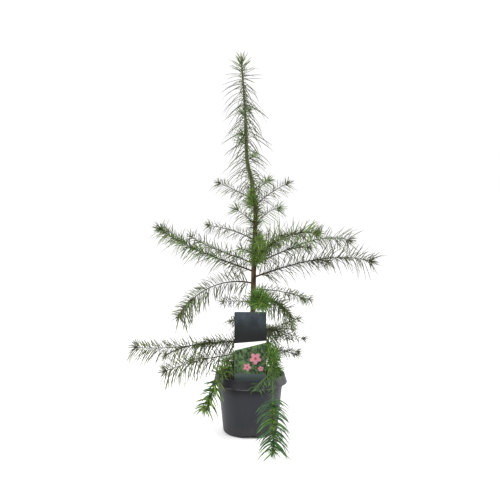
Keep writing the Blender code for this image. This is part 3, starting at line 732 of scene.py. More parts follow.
for litter_name, values in BED_LITTER.items():
    bed_copy = put_in_scene("bed_copy", compost_bed.data.copy())
    litter = grown(litter_name, bed_copy, scatter, dict(zip(LITTER_LABELS, values)))
    inside_the_rim(litter)
    litter.data.shade_smooth()
    settle(litter, "compost")

# %% [markdown]
# ## The label card
#
# A stiff printed card stands in front of the trunk. Its print is fields of
# colour: a dark upper field that pales towards the top, a white stripe that
# slants across, a leafy green field with small round blossoms, and a slate
# band at the foot. The fields are masks made from the card's own X and Z, so
# the print needs no image: `slanting_edge` is 1 above a line across the card,
# and `blossom` is 1 inside a flower of five round petals.

# %% Shader group: slanting_edge
EDGE_BLUR = 0.0003


def make_slanting_edge():
    tree, given, result = new_group(
        "slanting_edge", "ShaderNodeTree",
        [("Height", FLOAT, 0.25), ("Slope", FLOAT, 0.0), ("Blur", FLOAT, EDGE_BLUR)], [("Mask", FLOAT)])
    place = object_place(tree)
    line = plus(tree, given["Height"], times(tree, place["X"], given["Slope"]))
    above = minus(tree, place["Z"], line)
    tree.links.new(ramp_up(tree, above, 0.0, given["Blur"]), result["Mask"])
    return tree


slanting_edge = make_slanting_edge()
print("slanting_edge has", len(slanting_edge.nodes), "nodes")

# %% Shader group: blossom
PETALS = 5
PETAL_NOTCH = 0.45  # how deep the petals part, as a share of the flower's radius
HEART = 0.24
PETAL_BLUR = 0.05


def make_blossom():
    tree, given, result = new_group(
        "blossom", "ShaderNodeTree",
        [("Middle X", FLOAT, 0.0), ("Middle Z", FLOAT, 0.19), ("Radius", FLOAT, 0.01), ("Turn", FLOAT, 0.0)],
        [("Mask", FLOAT), ("Heart", FLOAT)])
    place = object_place(tree)
    x, z = minus(tree, place["X"], given["Middle X"]), minus(tree, place["Z"], given["Middle Z"])
    far = math_node(tree, "SQRT", plus(tree, times(tree, x, x), times(tree, z, z)))
    share = math_node(tree, "DIVIDE", far, given["Radius"])
    around = plus(tree, math_node(tree, "ARCTAN2", z, x), given["Turn"])
    wave = math_node(tree, "ABSOLUTE", math_node(tree, "COSINE", times(tree, around, PETALS / 2)))
    petals = plus(tree, 1 - PETAL_NOTCH, times(tree, wave, PETAL_NOTCH))
    for reach, label in ((petals, "Mask"), (HEART, "Heart")):
        tree.links.new(ramp_up(tree, minus(tree, reach, share), 0.0, PETAL_BLUR), result[label])
    return tree


blossom = make_blossom()
print("blossom has", len(blossom.nodes), "nodes")

# %% The print on the card
STRIPE_TOP = (0.2480, 0.085)  # height on the card's middle line, and slope
STRIPE_FOOT = (0.2370, 0.250)
STRIPE_LINE = (0.2435, 0.150)
STRIPE_LINE_WIDTH = 0.0011
STRIPE_LINE_SHARE = 0.6
BAND_TOP = (0.1660, -0.030, 0.003)  # height, slope and blur
HAZE = (0.262, 0.0, 0.068)
HAZE_TONE = (26.0, 0.7, 0.25)  # scale, stretch and softness
BLOSSOMS = [  # X and Z of the middle, radius and turn
    (0.013, 0.206, 0.0155, 0.3),
    (-0.008, 0.184, 0.0105, 1.4),
    (0.026, 0.180, 0.0075, 0.8),
]


def edge_mask(tree, height, slope, blur=EDGE_BLUR):
    return use(tree, slanting_edge, height, slope, blur).outputs["Mask"]


def with_blossoms(tree, ground):
    for values in BLOSSOMS:
        flower = use(tree, blossom, *values).outputs
        ground = mix_colours(tree, flower["Mask"], ground, rgb(186, 120, 134))
        ground = mix_colours(tree, flower["Heart"], ground, rgb(140, 62, 54))
    return ground


def print_card(made):
    tree, shader, tone = parts_of(made)
    haze = use(tree, mottle, *HAZE_TONE, rgb(16, 22, 25), rgb(62, 72, 79))
    upper = mix_colours(tree, edge_mask(tree, *HAZE), rgb(12, 15, 16), haze.outputs["Color"])
    lower = mix_colours(tree, edge_mask(tree, *BAND_TOP), rgb(72, 84, 82), tone.outputs["Color"])
    stripe = mix_colours(tree, edge_mask(tree, *STRIPE_FOOT), with_blossoms(tree, lower), rgb(238, 238, 232))
    line_height, line_slope = STRIPE_LINE
    line = minus(tree, edge_mask(tree, line_height, line_slope),
                 edge_mask(tree, line_height + STRIPE_LINE_WIDTH, line_slope))
    lined = mix_colours(tree, times(tree, line, STRIPE_LINE_SHARE), stripe, rgb(176, 160, 140))
    whole = mix_colours(tree, edge_mask(tree, *STRIPE_TOP), lined, upper)
    tree.links.new(whole, shader.inputs["Base Color"])


card_print = finish("card_print", rgb(4, 20, 12), rgb(82, 108, 66), 0.32,
                    tone=(150.0, 0.8, 0.16), relief=(1200.0, 1.0, 0.0), depth=0.00003, shine=0.2)
print_card(card_print)
card_back = finish("card_back", rgb(196, 197, 194), rgb(212, 212, 208), 0.45,
                   tone=(60.0, 1.0, 0.3), relief=(1500.0, 1.0, 0.0), depth=0.00004)
print("the print has", len(card_print.node_tree.nodes), "nodes")

# %% [markdown]
# ### The card's sheet
#
# The card is a thin sheet with rounded corners, narrowed below to the tongue
# that goes into the compost, and bowed a little across. Columns of points
# follow the outline, so the bow is smooth. The front is one material and the
# back and the edges another, because a printed card is plain behind.

# %% The sheet
CARD_WIDTH = 0.080
CARD_TOP = 0.325
CARD_SHOULDER = 0.134
CARD_TIP = 0.112
CARD_TONGUE = 0.050
CARD_THICK = 0.0008
CARD_Y = -0.062
CARD_CORNER = 0.003
CARD_BOW = 0.0012  # how far the card bows back at its edges
CARD_COLUMNS = 24
CORNER_COLUMNS = 4
CARD_SHARP = 50  # degrees
FACES_FRONT = -0.7  # a printed face's normal has a Y below this


def card_reach(x):
    """Lowest and highest height of the card at a distance x from its middle."""
    half = CARD_WIDTH / 2
    past = max(abs(x) - (half - CARD_CORNER), 0)
    high = CARD_TOP - CARD_CORNER + math.sqrt(max(CARD_CORNER**2 - past**2, 0))
    below = max(abs(x) - CARD_TONGUE / 2, 0) / (half - CARD_TONGUE / 2)
    return CARD_TIP + (CARD_SHOULDER - CARD_TIP) * below, high


def card_columns():
    """Places of the columns of points across the card, closer together at its rounded corners."""
    straight = CARD_WIDTH / 2 - CARD_CORNER
    middle = [straight * (2 * i / CARD_COLUMNS - 1) for i in range(CARD_COLUMNS + 1)]
    corner = [straight + CARD_CORNER * math.sin(math.pi / 2 * i / CORNER_COLUMNS)
              for i in range(1, CORNER_COLUMNS + 1)]
    return [-x for x in reversed(corner)] + middle + corner


def make_card():
    columns = card_columns()
    count = len(columns)
    points = []
    for side in (-1, 1):
        for x in columns:
            y = CARD_Y + side * CARD_THICK / 2 + CARD_BOW * (x / (CARD_WIDTH / 2))**2
            points += [(x, y, z) for z in card_reach(x)]
    faces = []
    for a in range(0, 2 * (count - 1), 2):
        b = a + 2 * count
        faces += [(a, a + 2, a + 3, a + 1), (b + 2, b, b + 1, b + 3),
                  (a + 1, a + 3, b + 3, b + 1), (a + 2, a, b, b + 2)]
    faces += [(a, a + 1, a + 2 * count + 1, a + 2 * count) for a in (0, 2 * (count - 1))]
    sheet = piece("card_sheet", points, faces, card_print, CARD_SHARP)
    sheet.data.materials.append(card_back)
    for face in sheet.data.polygons:
        face.material_index = int(face.normal.y > FACES_FRONT)
    return sheet


settle(make_card(), "label_print", "label_card")

# %% [markdown]
# ## The rule that the plant grows by
#
# A young larch has one leader, which is the top of its trunk, and short
# boughs in loose tiers. A bough follows from the height where it leaves the
# trunk, its azimuth, its length, how steeply it rises at its base, middle and
# tip, and how far it turns. These are the values of the plain solids.

# %% The trunk's stations and the boughs
TRUNK = [  # height, x, y and radius
    (0.142, 0.006, 0.000, 0.0110),
    (0.165, 0.006, 0.000, 0.0072),
    (0.300, 0.007, 0.002, 0.0062),
    (0.430, 0.009, 0.003, 0.0053),
    (0.540, 0.013, 0.002, 0.0046),
    (0.590, 0.012, 0.000, 0.0040),
    (0.650, 0.003, -0.003, 0.0031),
    (0.700, -0.008, -0.004, 0.0026),
    (0.800, -0.012, -0.001, 0.0020),
    (0.880, -0.017, 0.003, 0.0015),
    (0.942, -0.022, 0.005, 0.0010),
]
Bough = namedtuple("Bough", "height azimuth length rise turn twigs wood style tone")
BOUGHS = {name: Bough(*values) for name, values in {
    "low_left_long": (0.238, 172, 0.305, (-2, -8, 4), 0, 2, 0.16, "sparse", "olive"),
    "low_left": (0.207, 197, 0.228, (0, -8, -18), 0, 1, 0.18, "sparse", "olive"),
    "low_front_left": (0.184, 224, 0.208, (36, -40, -58), 0, 0, 0.20, "flat", "mid"),
    "low_front_right": (0.198, -36, 0.350, (32, -42, -60), -54, 1, 0.16, "flat", "deep"),
    "low_back": (0.226, 76, 0.205, (8, -2, -18), 0, 1, 0.16, "sparse", "olive"),
    "low_back_left": (0.262, 108, 0.190, (8, -2, -18), 0, 1, 0.18, "sparse", "olive"),
    "low_right_short": (0.205, 28, 0.132, (6, -4, -16), 0, 1, 0.24, "fine", "olive"),
    "low_right": (0.272, -12, 0.128, (2, -12, -18), 0, 1, 0.24, "fine", "olive"),
    "low_right_back": (0.252, 44, 0.165, (2, 10, 2), 0, 1, 0.20, "fine", "olive"),
    "mid_right_droop": (0.350, -33, 0.135, (2, -20, -80), 0, 0, 0.22, "short", "mid"),
    "mid_left_thin": (0.338, 124, 0.140, (-4, -8, -12), 0, 0, 0.22, "brush", "olive"),
    "mid_right_back": (0.370, 34, 0.182, (-2, -15, -22), 0, 1, 0.18, "brush", "olive"),
    "mid_left_droop": (0.388, 160, 0.242, (8, -27, -60), 0, 0, 0.16, "side", "olive"),
    "mid_right_long": (0.405, -6, 0.300, (20, 11, -14), 0, 1, 0.14, "long", "shade"),
    "mid_left_long": (0.420, 200, 0.266, (22, 24, 36), 0, 0, 0.15, "side", "olive"),
    "mid_left_back": (0.440, 160, 0.180, (18, 18, 28), 0, 0, 0.18, "side", "olive"),
    "mid_right_back_long": (0.440, 14, 0.262, (18, 17, -18), 0, 1, 0.15, "long", "shade"),
    "mid_right_front": (0.440, -40, 0.222, (56, 24, -2), 0, 1, 0.16, "long", "mid"),
    "mid_back": (0.428, 86, 0.225, (28, 14, -6), 0, 1, 0.16, "side", "olive"),
    "high_left_thin": (0.500, 152, 0.136, (24, 12, 4), 0, 0, 0.22, "lace", "olive"),
    "high_back": (0.520, 88, 0.105, (40, 30, 18), 0, 0, 0.26, "short", "olive"),
    "top_left": (0.600, 170, 0.098, (34, 25, 22), 0, 0, 0.26, "lace", "olive"),
    "top_right": (0.590, -10, 0.096, (44, 34, 24), 0, 0, 0.26, "lace", "olive"),
    "front_clump_low": (0.342, -79, 0.105, (34, 8, -14), 0, 0, 0.0, "fresh", "fresh"),
    "front_clump_mid": (0.432, -84, 0.150, (50, 34, 20), 0, 1, 0.0, "fine", "mid"),
    "front_clump_top": (0.585, -100, 0.060, (50, 40, 24), 0, 0, 0.0, "fresh", "fresh"),
    "high_left_short": (0.542, 200, 0.060, (44, 38, 34), 0, 0, 0.0, "lace", "mid"),
    "high_right_short": (0.543, -20, 0.072, (50, 36, 8), 0, 0, 0.0, "lace", "mid"),
    "top_right_back": (0.620, 25, 0.046, (46, 38, 34), 0, 0, 0.0, "lace", "mid"),
}.items()}
LEADER_NODES = ["foliage_leader_low", "foliage_leader_middle", "foliage_leader_top"]
LEADER_FOOT, LEADER_TOP = 0.652, 0.948
print(len(BOUGHS), "boughs,", round(sum(b.length for b in BOUGHS.values()), 2), "m in all")

# %% [markdown]
# ### Lines in space
#
# The trunk is a smooth curve through its stations: cubics that keep the slope
# of their neighbours. A bough is walked step by step, each step headed by the
# rise and azimuth that hold there. `stretch` reads points at even distances
# from such a line, and a `Limb` carries them with directions and radii.

# %% Shares, curves and headings
def between(pair, share):
    return pair[0] + (pair[1] - pair[0]) * share


def smooth(value, start, end):
    share = min(max((value - start) / (end - start), 0), 1)
    return share * share * (3 - 2 * share)


def cubic(a, slope_a, b, slope_b, t):
    """A point on the smooth curve from a to b that leaves and arrives with two slopes."""
    return (a * (2 * t**3 - 3 * t**2 + 1) + slope_a * (t**3 - 2 * t**2 + t)
            + b * (3 * t**2 - 2 * t**3) + slope_b * (t**3 - t**2))


def heading(azimuth, lift=0.0):
    """The unit vector of an azimuth and a lift, both in degrees."""
    way, rise = math.radians(azimuth), math.radians(lift)
    return Vector((math.cos(rise) * math.cos(way), math.cos(rise) * math.sin(way), math.sin(rise)))


def spread(low, high, step):
    """Even marks from low to high, about a step apart."""
    count = max(round((high - low) / step), 1)
    return [low + (high - low) * i / count for i in range(count + 1)]


print("halfway along a smooth step:", smooth(0.5, 0, 1))


# %% The trunk's line
def trunk_at(height):
    """Centre and radius of the trunk, on a smooth curve through its stations."""
    last = len(TRUNK) - 2
    i = 0
    while i < last and height > TRUNK[i + 1][0]:
        i += 1
    here, ahead = np.array(TRUNK[i]), np.array(TRUNK[i + 1])
    before, after = np.array(TRUNK[max(i - 1, 0)]), np.array(TRUNK[min(i + 2, last + 1)])
    span = ahead[0] - here[0]
    t = min(max((height - here[0]) / span, 0), 1)
    slope_here = (ahead - before) / (ahead[0] - before[0]) * span
    slope_ahead = (after - here) / (after[0] - here[0]) * span
    _, x, y, _ = cubic(here, slope_here, ahead, slope_ahead, t)
    return Vector((x, y, height)), float(between((here[3], ahead[3]), t))


print("the trunk leans to", [round(v, 3) for v in trunk_at(LEADER_TOP)[0]])

# %% The boughs' lines
CLEAR = 0.0003
LINE_STEP = 0.005
TURN_SPEED = 6  # a bough turns in its first part and then runs straight
WOOD_BASE = 0.0014  # base radius of a bough of no length
WOOD_GROWTH = 0.004  # base radius that each metre of length adds
STEM_TIP = 0.0011
COLLAR = 1.35  # swelling where a bough leaves the trunk


def rise_at(rise, t):
    """Degrees of rise along a bough, on a parabola through its base, middle and tip."""
    base, middle, tip = rise
    return base * (1 - t) * (1 - 2 * t) + middle * 4 * t * (1 - t) + tip * t * (2 * t - 1)


def wood_radius(length, t):
    return between((WOOD_BASE + WOOD_GROWTH * length, STEM_TIP), t)


def bark_gap(bough):
    """Gap from the trunk's bark that clears a base ring on a leaning trunk."""
    reach = 2 * COLLAR * wood_radius(bough.length, 0)
    middle, girth = trunk_at(bough.height)
    furthest = girth
    for z in (bough.height - reach, bough.height + reach):
        centre, radius = trunk_at(z)
        furthest = max(furthest, (centre - middle).dot(heading(bough.azimuth)) + radius)
    return furthest - girth + CLEAR


def bough_line(bough):
    """Points at equal steps along a bough, from the bark to its tip."""
    centre, girth = trunk_at(bough.height)
    line = [centre + heading(bough.azimuth) * (girth + bark_gap(bough))]
    count = round(bough.length / LINE_STEP)
    for i in range(count):
        t = (i + 0.5) / count
        way = bough.azimuth + bough.turn * (1 - (1 - t)**TURN_SPEED)
        line.append(line[-1] + heading(way, rise_at(bough.rise, t)) * bough.length / count)
    return line


LINES = {name: bough_line(bough) for name, bough in BOUGHS.items()}
print("the longest bough ends at", [round(v, 3) for v in LINES["low_front_right"][-1]])

# %% Limbs
UPRIGHT = 0.1  # sine of the angle to the vertical that counts as upright
Limb = namedtuple("Limb", "points ways radii")


def stretch(name, low, high, step):
    """A part of a bough as a limb with a point at each even step from low to high."""
    line, length = LINES[name], BOUGHS[name].length
    segment = (line[1] - line[0]).length
    limb = Limb([], [], [])
    for mark in spread(low, high, step):
        k = min(int(mark / segment), len(line) - 2)
        limb.points.append(line[k].lerp(line[k + 1], mark / segment - k))
        limb.ways.append((line[k + 1] - line[k]).normalized())
        limb.radii.append(wood_radius(length, mark / length))
    return limb


def level_side(way):
    """A level direction square to a way, or X where the way is upright."""
    side = way.cross(UP)
    return side if side.length >= UPRIGHT else ACROSS.copy()


def frames(ways):
    """Side and lift at each point of a limb, carried along it without twist."""
    result = []
    side = level_side(ways[0])
    for way in ways:
        side = (side - way * side.dot(way)).normalized()
        result.append((side, side.cross(way)))
    return result


def trunk_limb(low, high, step):
    """A part of the trunk as a limb."""
    stations = [trunk_at(z) for z in spread(low, high, step)]
    return Limb([centre for centre, _ in stations], [UP] * len(stations), [radius for _, radius in stations])


print("a limb has", Limb._fields)

# %% [markdown]
# ### Side twigs
#
# Side twigs leave a stem left and right in turn, and sag a little on their
# way. They are found along coarse stems, and the draws come from the same
# seeds as the plain model's, so the same twigs grow here.

# %% Side twigs
STEM_STEP = 0.022
TWIG_LENGTH = (0.050, 0.080)
TWIG_ANGLE = math.radians(42)
TWIG_REACH = (0.12, 0.52)  # shares of the stem's length between which twigs leave
TWIG_PLACE = (0.2, 0.8)
TWIG_STEPS = 4
TWIG_LIFT = 0.12
TWIG_SAG = 0.09
TWIG_GIRTH = 0.85


def twig_from(stem, k, way, length):
    """A twig in a few steps from a point of its stem, sagging a little at each."""
    points, ways = [stem.points[k]], [way]
    for _ in range(TWIG_STEPS):
        way = (way - UP * TWIG_SAG).normalized()
        points.append(points[-1] + way * (length / TWIG_STEPS))
        ways.append(way)
    girth = (stem.radii[k] * TWIG_GIRTH, STEM_TIP * TWIG_GIRTH)
    return Limb(points, ways, [between(girth, j / TWIG_STEPS) for j in range(TWIG_STEPS + 1)])


def side_twigs(name, bough, chance):
    """The side twigs of a bough's green stem, left and right in turn."""
    start = bough.length * bough.wood + CLEAR if bough.wood else 0
    stem = stretch(name, start, bough.length, STEM_STEP)
    turns = frames(stem.ways)
    last = len(stem.points) - 1
    twigs = []
    for i in range(bough.twigs):
        share = between(TWIG_REACH, (i + chance.uniform(*TWIG_PLACE)) / bough.twigs)
        k = max(1, min(round(share * last), last - 1))
        hand = 1 if i % 2 == 0 else -1
        way = stem.ways[k] * math.cos(TWIG_ANGLE) + turns[k][0] * hand * math.sin(TWIG_ANGLE)
        twigs.append(twig_from(stem, k, (way + UP * TWIG_LIFT).normalized(), chance.uniform(*TWIG_LENGTH)))
    return twigs


TWIGS = {name: side_twigs(name, bough, random.Random(SEED + index))
         for index, (name, bough) in enumerate(BOUGHS.items())}
print("side twigs:", sum(len(found) for found in TWIGS.values()))

# %% [markdown]
# ## Bark and green wood
#
# The old foot of a larch is reddish brown and cracks into upright plates,
# last year's wood is brown and smoother, and this year's leader is olive
# green and ribbed. So the trunk's finish blends three tones by height. The
# boughs are brown where they are old, their young stems are olive, and the
# freshest shoots are light green.

# %% Finishes of wood
YOUNG_WOOD = (  # heights where the wood below gives way to it, and its dark and light tone
    (0.42, 0.50, rgb(36, 34, 18), rgb(76, 70, 40)),
    (0.52, 0.66, rgb(46, 54, 25), rgb(92, 102, 54)),
)
YOUNG_TONE = (240.0, 0.2, 0.25)  # scale, stretch and softness
trunk_bark = finish("trunk_bark", rgb(31, 23, 13), rgb(90, 70, 43), 0.86,
                    tone=(190.0, 0.16, 0.2), relief=(420.0, 0.22, 1.0), depth=0.0007, shine=0.25)


def green_with_height(made):
    tree, shader, tone = parts_of(made)
    height = object_place(tree)["Z"]
    tones = tone.outputs["Color"]
    for start, end, dark, light in YOUNG_WOOD:
        young = use(tree, mottle, *YOUNG_TONE, dark, light)
        tones = mix_colours(tree, ramp_up(tree, height, start, end), tones, young.outputs["Color"])
    tree.links.new(tones, shader.inputs["Base Color"])


green_with_height(trunk_bark)
bough_bark = finish("bough_bark", rgb(32, 22, 15), rgb(78, 56, 38), 0.88,
                    tone=(260.0, 1.0, 0.2), relief=(620.0, 1.0, 0.9), depth=0.0005, shine=0.25)
stem_olive = finish("stem_olive", rgb(25, 23, 14), rgb(54, 48, 30), 0.75,
                    tone=(200.0, 1.0, 0.3), relief=(800.0, 1.0, 0.3), depth=0.0002)
stem_green = finish("stem_green", rgb(44, 66, 28), rgb(82, 106, 50), 0.6,
                    tone=(160.0, 1.0, 0.3), relief=(800.0, 1.0, 0.2), depth=0.0002)
print("wood finishes:", trunk_bark.name, bough_bark.name, stem_olive.name, stem_green.name)

# %% [markdown]
# ### Tubes with relief
#
# Every limb is rings of points about a line, skinned, with both ends closed.
# A function of the angle and of the way along gives its surface its relief,
# so the same tube serves a cracked trunk and a ribbed shoot. Many limbs are
# joined into one mesh as they are made, which is far quicker than afterwards.

# %% Tubes
TUBE_SHARP = 70  # degrees


def smoothed(limb, parts):
    """A limb with more points on a smooth curve through those that it has."""
    fine = Limb([], [], [])
    last = len(limb.points) - 1
    for k in range(last):
        a, b = limb.points[k], limb.points[k + 1]
        before, after = limb.points[max(k - 1, 0)], limb.points[min(k + 2, last)]
        for i in range(parts):
            t = i / parts
            fine.points.append(cubic(a, (b - before) / 2, b, (after - a) / 2, t))
            fine.ways.append(limb.ways[k].lerp(limb.ways[k + 1], t).normalized())
            fine.radii.append(between(limb.radii[k:k + 2], t))
    for kept, given in zip(fine, limb):
        kept.append(given[-1])
    return fine


def no_relief(_turn, _mark):
    return 1.0


class Skin:
    """Joins the tubes of many limbs into one list of points and faces."""

    def __init__(self):
        self.points, self.faces = [], []

    def add(self, limb, sides, relief=no_relief, level=False):
        """Skins one limb. Level rings lie flat, and the others are square to the limb's way."""
        first, mark = len(self.points), 0.0
        axes = [(ACROSS, Vector((0, 1, 0)))] * len(limb.points) if level else frames(limb.ways)
        for k, (point, radius, (side, lift)) in enumerate(zip(limb.points, limb.radii, axes)):
            mark += (point - limb.points[k - 1]).length if k else 0
            for i in range(sides):
                turn = 2 * math.pi * i / sides
                reach = radius * relief(turn, mark)
                self.points.append(point + side * (reach * math.cos(turn)) + lift * (reach * math.sin(turn)))
        self.faces.append([first + i for i in range(sides)][::-1])
        for a in range(first, len(self.points) - sides, sides):
            b = a + sides
            self.faces += [(a + i, a + (i + 1) % sides, b + (i + 1) % sides, b + i) for i in range(sides)]
        self.faces.append([len(self.points) - sides + i for i in range(sides)])

    def make(self, name, finish_used):
        return piece(name, self.points, self.faces, finish_used, TUBE_SHARP)


print("a tube of 8 sides and 10 rings has", 8 * 9 * 2 + 12, "triangles")

# %% [markdown]
# ### The trunk
#
# Upright plates of bark are ridges that run mostly with the height. Their
# noise varies slowly with the height and quickly round the trunk, and it is
# cut off where it grows strong, which leaves narrow cracks where it crosses
# zero. Root swellings spread the foot in five lobes. Above, on the young
# wood, the cracks fade and fine ribs run down instead.

# %% The relief of the bark
CRACK_DEPTH = 0.09  # of the radius
CRACK_RING, CRACK_RISE = 1.9, 42  # pitch of the noise round the trunk and along it
CRACK_WIDTH = 3.2  # the larger, the narrower the cracks
CRUMB_RING, CRUMB_RISE, CRUMB_SHARE = 1.9 * 2.3, 120, 0.35
OLD_FROM, OLD_TO = 0.50, 0.68  # heights where the cracks begin to fade and are gone
ROOT_LOBES, ROOT_LOBE_DEPTH, ROOT_HEIGHT, ROOT_TURN = 5, 0.16, 0.020, 0.6
RIB_COUNT, RIB_DEPTH, RIB_TWIST = 9, 0.035, 60


def ring_noise(turn, ring, rise):
    """Noise on a cylinder, so that it closes round the trunk."""
    return noise.noise(Vector((math.cos(turn) * ring, math.sin(turn) * ring, rise)))


def trunk_relief(turn, mark):
    height = SOIL_TOP + mark
    crack = abs(ring_noise(turn, CRACK_RING, height * CRACK_RISE))
    fine = ring_noise(turn, CRUMB_RING, height * CRUMB_RISE)
    old = 1 - smooth(height, OLD_FROM, OLD_TO)
    lobes = math.cos(ROOT_LOBES * turn + ROOT_TURN) * (1 - smooth(mark, 0, ROOT_HEIGHT))
    ribs = math.cos(RIB_COUNT * turn + height * RIB_TWIST) * RIB_DEPTH * (1 - old)
    cracks = CRACK_DEPTH * (min(crack * CRACK_WIDTH, 1) - 0.5 + CRUMB_SHARE * fine)
    return 1 + old * cracks + ribs + ROOT_LOBE_DEPTH * lobes


print("relief at the foot:", round(trunk_relief(0, 0), 3), "of the radius")

# %% The trunk's mesh
TRUNK_SIDES = 48
TRUNK_STEP = 0.002
TIP_HEIGHT, TIP_TAPER = 0.012, 0.55  # where the leader narrows to its bud, and by how much
BARK = [  # height, and the thickness of the bark over the wood
    (SOIL_TOP, 0.0006),
    (0.580, 0.0008),
    (0.650, 0.0021),
    (0.760, 0.0016),
    (0.870, 0.0010),
    (0.948, 0.0007),
]


def bark_at(height):
    return float(np.interp(height, *zip(*BARK)))


def barked_trunk():
    wood = trunk_limb(SOIL_TOP + CLEAR, LEADER_TOP, TRUNK_STEP)
    heights = spread(SOIL_TOP + CLEAR, LEADER_TOP, TRUNK_STEP)
    radii = [(radius + bark_at(z)) * (1 - TIP_TAPER * smooth(z, LEADER_TOP - TIP_HEIGHT, LEADER_TOP))
             for z, radius in zip(heights, wood.radii)]
    return wood._replace(radii=radii)


trunk_skin = Skin()
trunk_skin.add(barked_trunk(), TRUNK_SIDES, trunk_relief, level=True)
settle(trunk_skin.make("trunk_wood", trunk_bark), "bark", "trunk")

# %% [markdown]
# ### Boughs and stems
#
# A bough starts inside the trunk, swells at its collar, and thins along its
# way. Its first part is old bark and the rest is the young stem that carries
# the needles. Both are cut from one fine line, so that they meet without a
# step. Twigs start inside their stem in the same way.

# %% Boughs, stems and twigs as limbs
FINE_STEP = 0.003
TWIG_PARTS = 4
SUNK = 0.6  # part of the trunk's radius where a bough starts
SLIM = (0.85, 0.5)  # part of its girth that a stem keeps at its foot and tip


def bough_limb(name):
    """The whole bough as one fine limb, from inside the trunk to its tip."""
    bough = BOUGHS[name]
    centre, girth = trunk_at(bough.height)
    inside = centre + heading(bough.azimuth) * girth * SUNK
    fine = stretch(name, 0, bough.length, FINE_STEP)
    last = len(fine.radii) - 1
    radii = [radius * between(SLIM, k / last) for k, radius in enumerate(fine.radii)]
    return Limb([inside, *fine.points], [fine.ways[0], *fine.ways], [radii[0], *radii])


def part_of(limb, low, high):
    """The rings of a limb from the index low up to and with high."""
    return Limb(*(values[low:high + 1] for values in limb))


LIMBS = {name: bough_limb(name) for name in BOUGHS}
FINE_TWIGS = {name: [smoothed(twig, TWIG_PARTS) for twig in twigs] for name, twigs in TWIGS.items()}
print("rings of all boughs:", sum(len(limb.points) for limb in LIMBS.values()))

# %% Their skins
BOUGH_SIDES, STEM_SIDES = 16, 10
COLLAR_FADE = 0.004
LUMP_DEPTH, LUMP_RING, LUMP_RISE = 0.14, 1.4, 170
STEM_RIBS, STEM_TWIST, STEM_RINGS, STEM_DEPTH = 5, 90, 2100, 0.05
GREEN_STEMS = ("fresh", "deep")


def bough_relief(turn, mark):
    lump = ring_noise(turn, LUMP_RING, mark * LUMP_RISE)
    return 1 + LUMP_DEPTH * lump + (COLLAR - 1) * math.exp(-mark / COLLAR_FADE)


def stem_relief(turn, mark):
    ribs = math.cos(STEM_RIBS * turn + mark * STEM_TWIST)
    return 1 + STEM_DEPTH * ribs + STEM_DEPTH * math.sin(mark * STEM_RINGS)


wood_skin = Skin()
stem_skins = {"stems_olive": (Skin(), stem_olive, []), "stems_green": (Skin(), stem_green, [])}
for name, bough in BOUGHS.items():
    limb = LIMBS[name]
    last = len(limb.points) - 1
    joint = round(last * bough.wood)
    if joint:
        wood_skin.add(part_of(limb, 0, joint), BOUGH_SIDES, bough_relief)
    skin, _, nodes = stem_skins["stems_green" if bough.tone in GREEN_STEMS else "stems_olive"]
    for stem in (part_of(limb, joint, last), *FINE_TWIGS[name]):
        skin.add(stem, STEM_SIDES, stem_relief)
    nodes.append("foliage_" + name)

wooden = ["bough_" + name for name, bough in BOUGHS.items() if bough.wood]
settle(wood_skin.make("bough_wood", bough_bark), "bark", *wooden)
print({label: len(skin.faces) for label, (skin, _, _) in stem_skins.items()}, "faces of stems so far")

# %% [markdown]
# ## Needles
#
# A needle is a slender blade with a blunt root and a soft point. It leaves its
# shoot at an angle and then bends, and every needle is another size, so
# thousands of them can't be copies that are only turned. The Geometry Nodes
# tree here puts a straight needle of unit length on points that carry its
# aim, its flat side, its length and its width as attributes, and then bends
# the realized mesh by one more. Pegs and buds come from the same tree.

# %% The tree for needles, pegs and buds
POINT_POWER = 3.0  # the larger, the later the blade narrows to its point
BEND_POWER = 2.0  # a needle bends mostly in its outer part


def named(tree, label, kind="FLOAT"):
    """The output of a Named Attribute node."""
    node = add(tree, "GeometryNodeInputNamedAttribute", {"Name": label}, data_type=kind)
    return node.outputs["Attribute"]


def unit_needle(tree, given):
    """The nodes of one straight needle along Z, which remembers how far along each point is."""
    line = add(tree, "GeometryNodeCurvePrimitiveLine", {"Start": (0, 0, 0), "End": (0, 0, 1)})
    count = plus(tree, given["Segments"], 1.0)
    spine = add(tree, "GeometryNodeResampleCurve", {"Curve": line.outputs[0], "Count": count})
    along = add(tree, "GeometryNodeSplineParameter").outputs["Factor"]
    marked = add(tree, "GeometryNodeStoreNamedAttribute",
                 {"Geometry": spine.outputs[0], "Name": "along", "Value": along},
                 data_type="FLOAT", domain="POINT")
    swell = add(tree, "ShaderNodeMapRange", {0: along, 1: 0.0, 2: given["Swell"], 3: given["Root"], 4: 1.0},
                interpolation_type="SMOOTHSTEP").outputs[0]
    point = math_node(tree, "SUBTRACT", 1.0, math_node(tree, "POWER", along, POINT_POWER), clamp=True)
    taper = math_node(tree, "MAXIMUM", math_node(tree, "SQRT", point), given["Tip"])
    ring = add(tree, "GeometryNodeCurvePrimitiveCircle", {"Resolution": given["Sides"], "Radius": 1.0})
    blade = add(tree, "GeometryNodeCurveToMesh",
                {"Curve": marked.outputs[0], "Profile Curve": ring.outputs[0],
                 "Scale": times(tree, swell, taper), "Fill Caps": True})
    flat = vector_of(tree, 1.0, given["Thickness"], 1.0)
    return add(tree, "GeometryNodeTransform", {"Geometry": blade.outputs[0], "Scale": flat}).outputs[0]


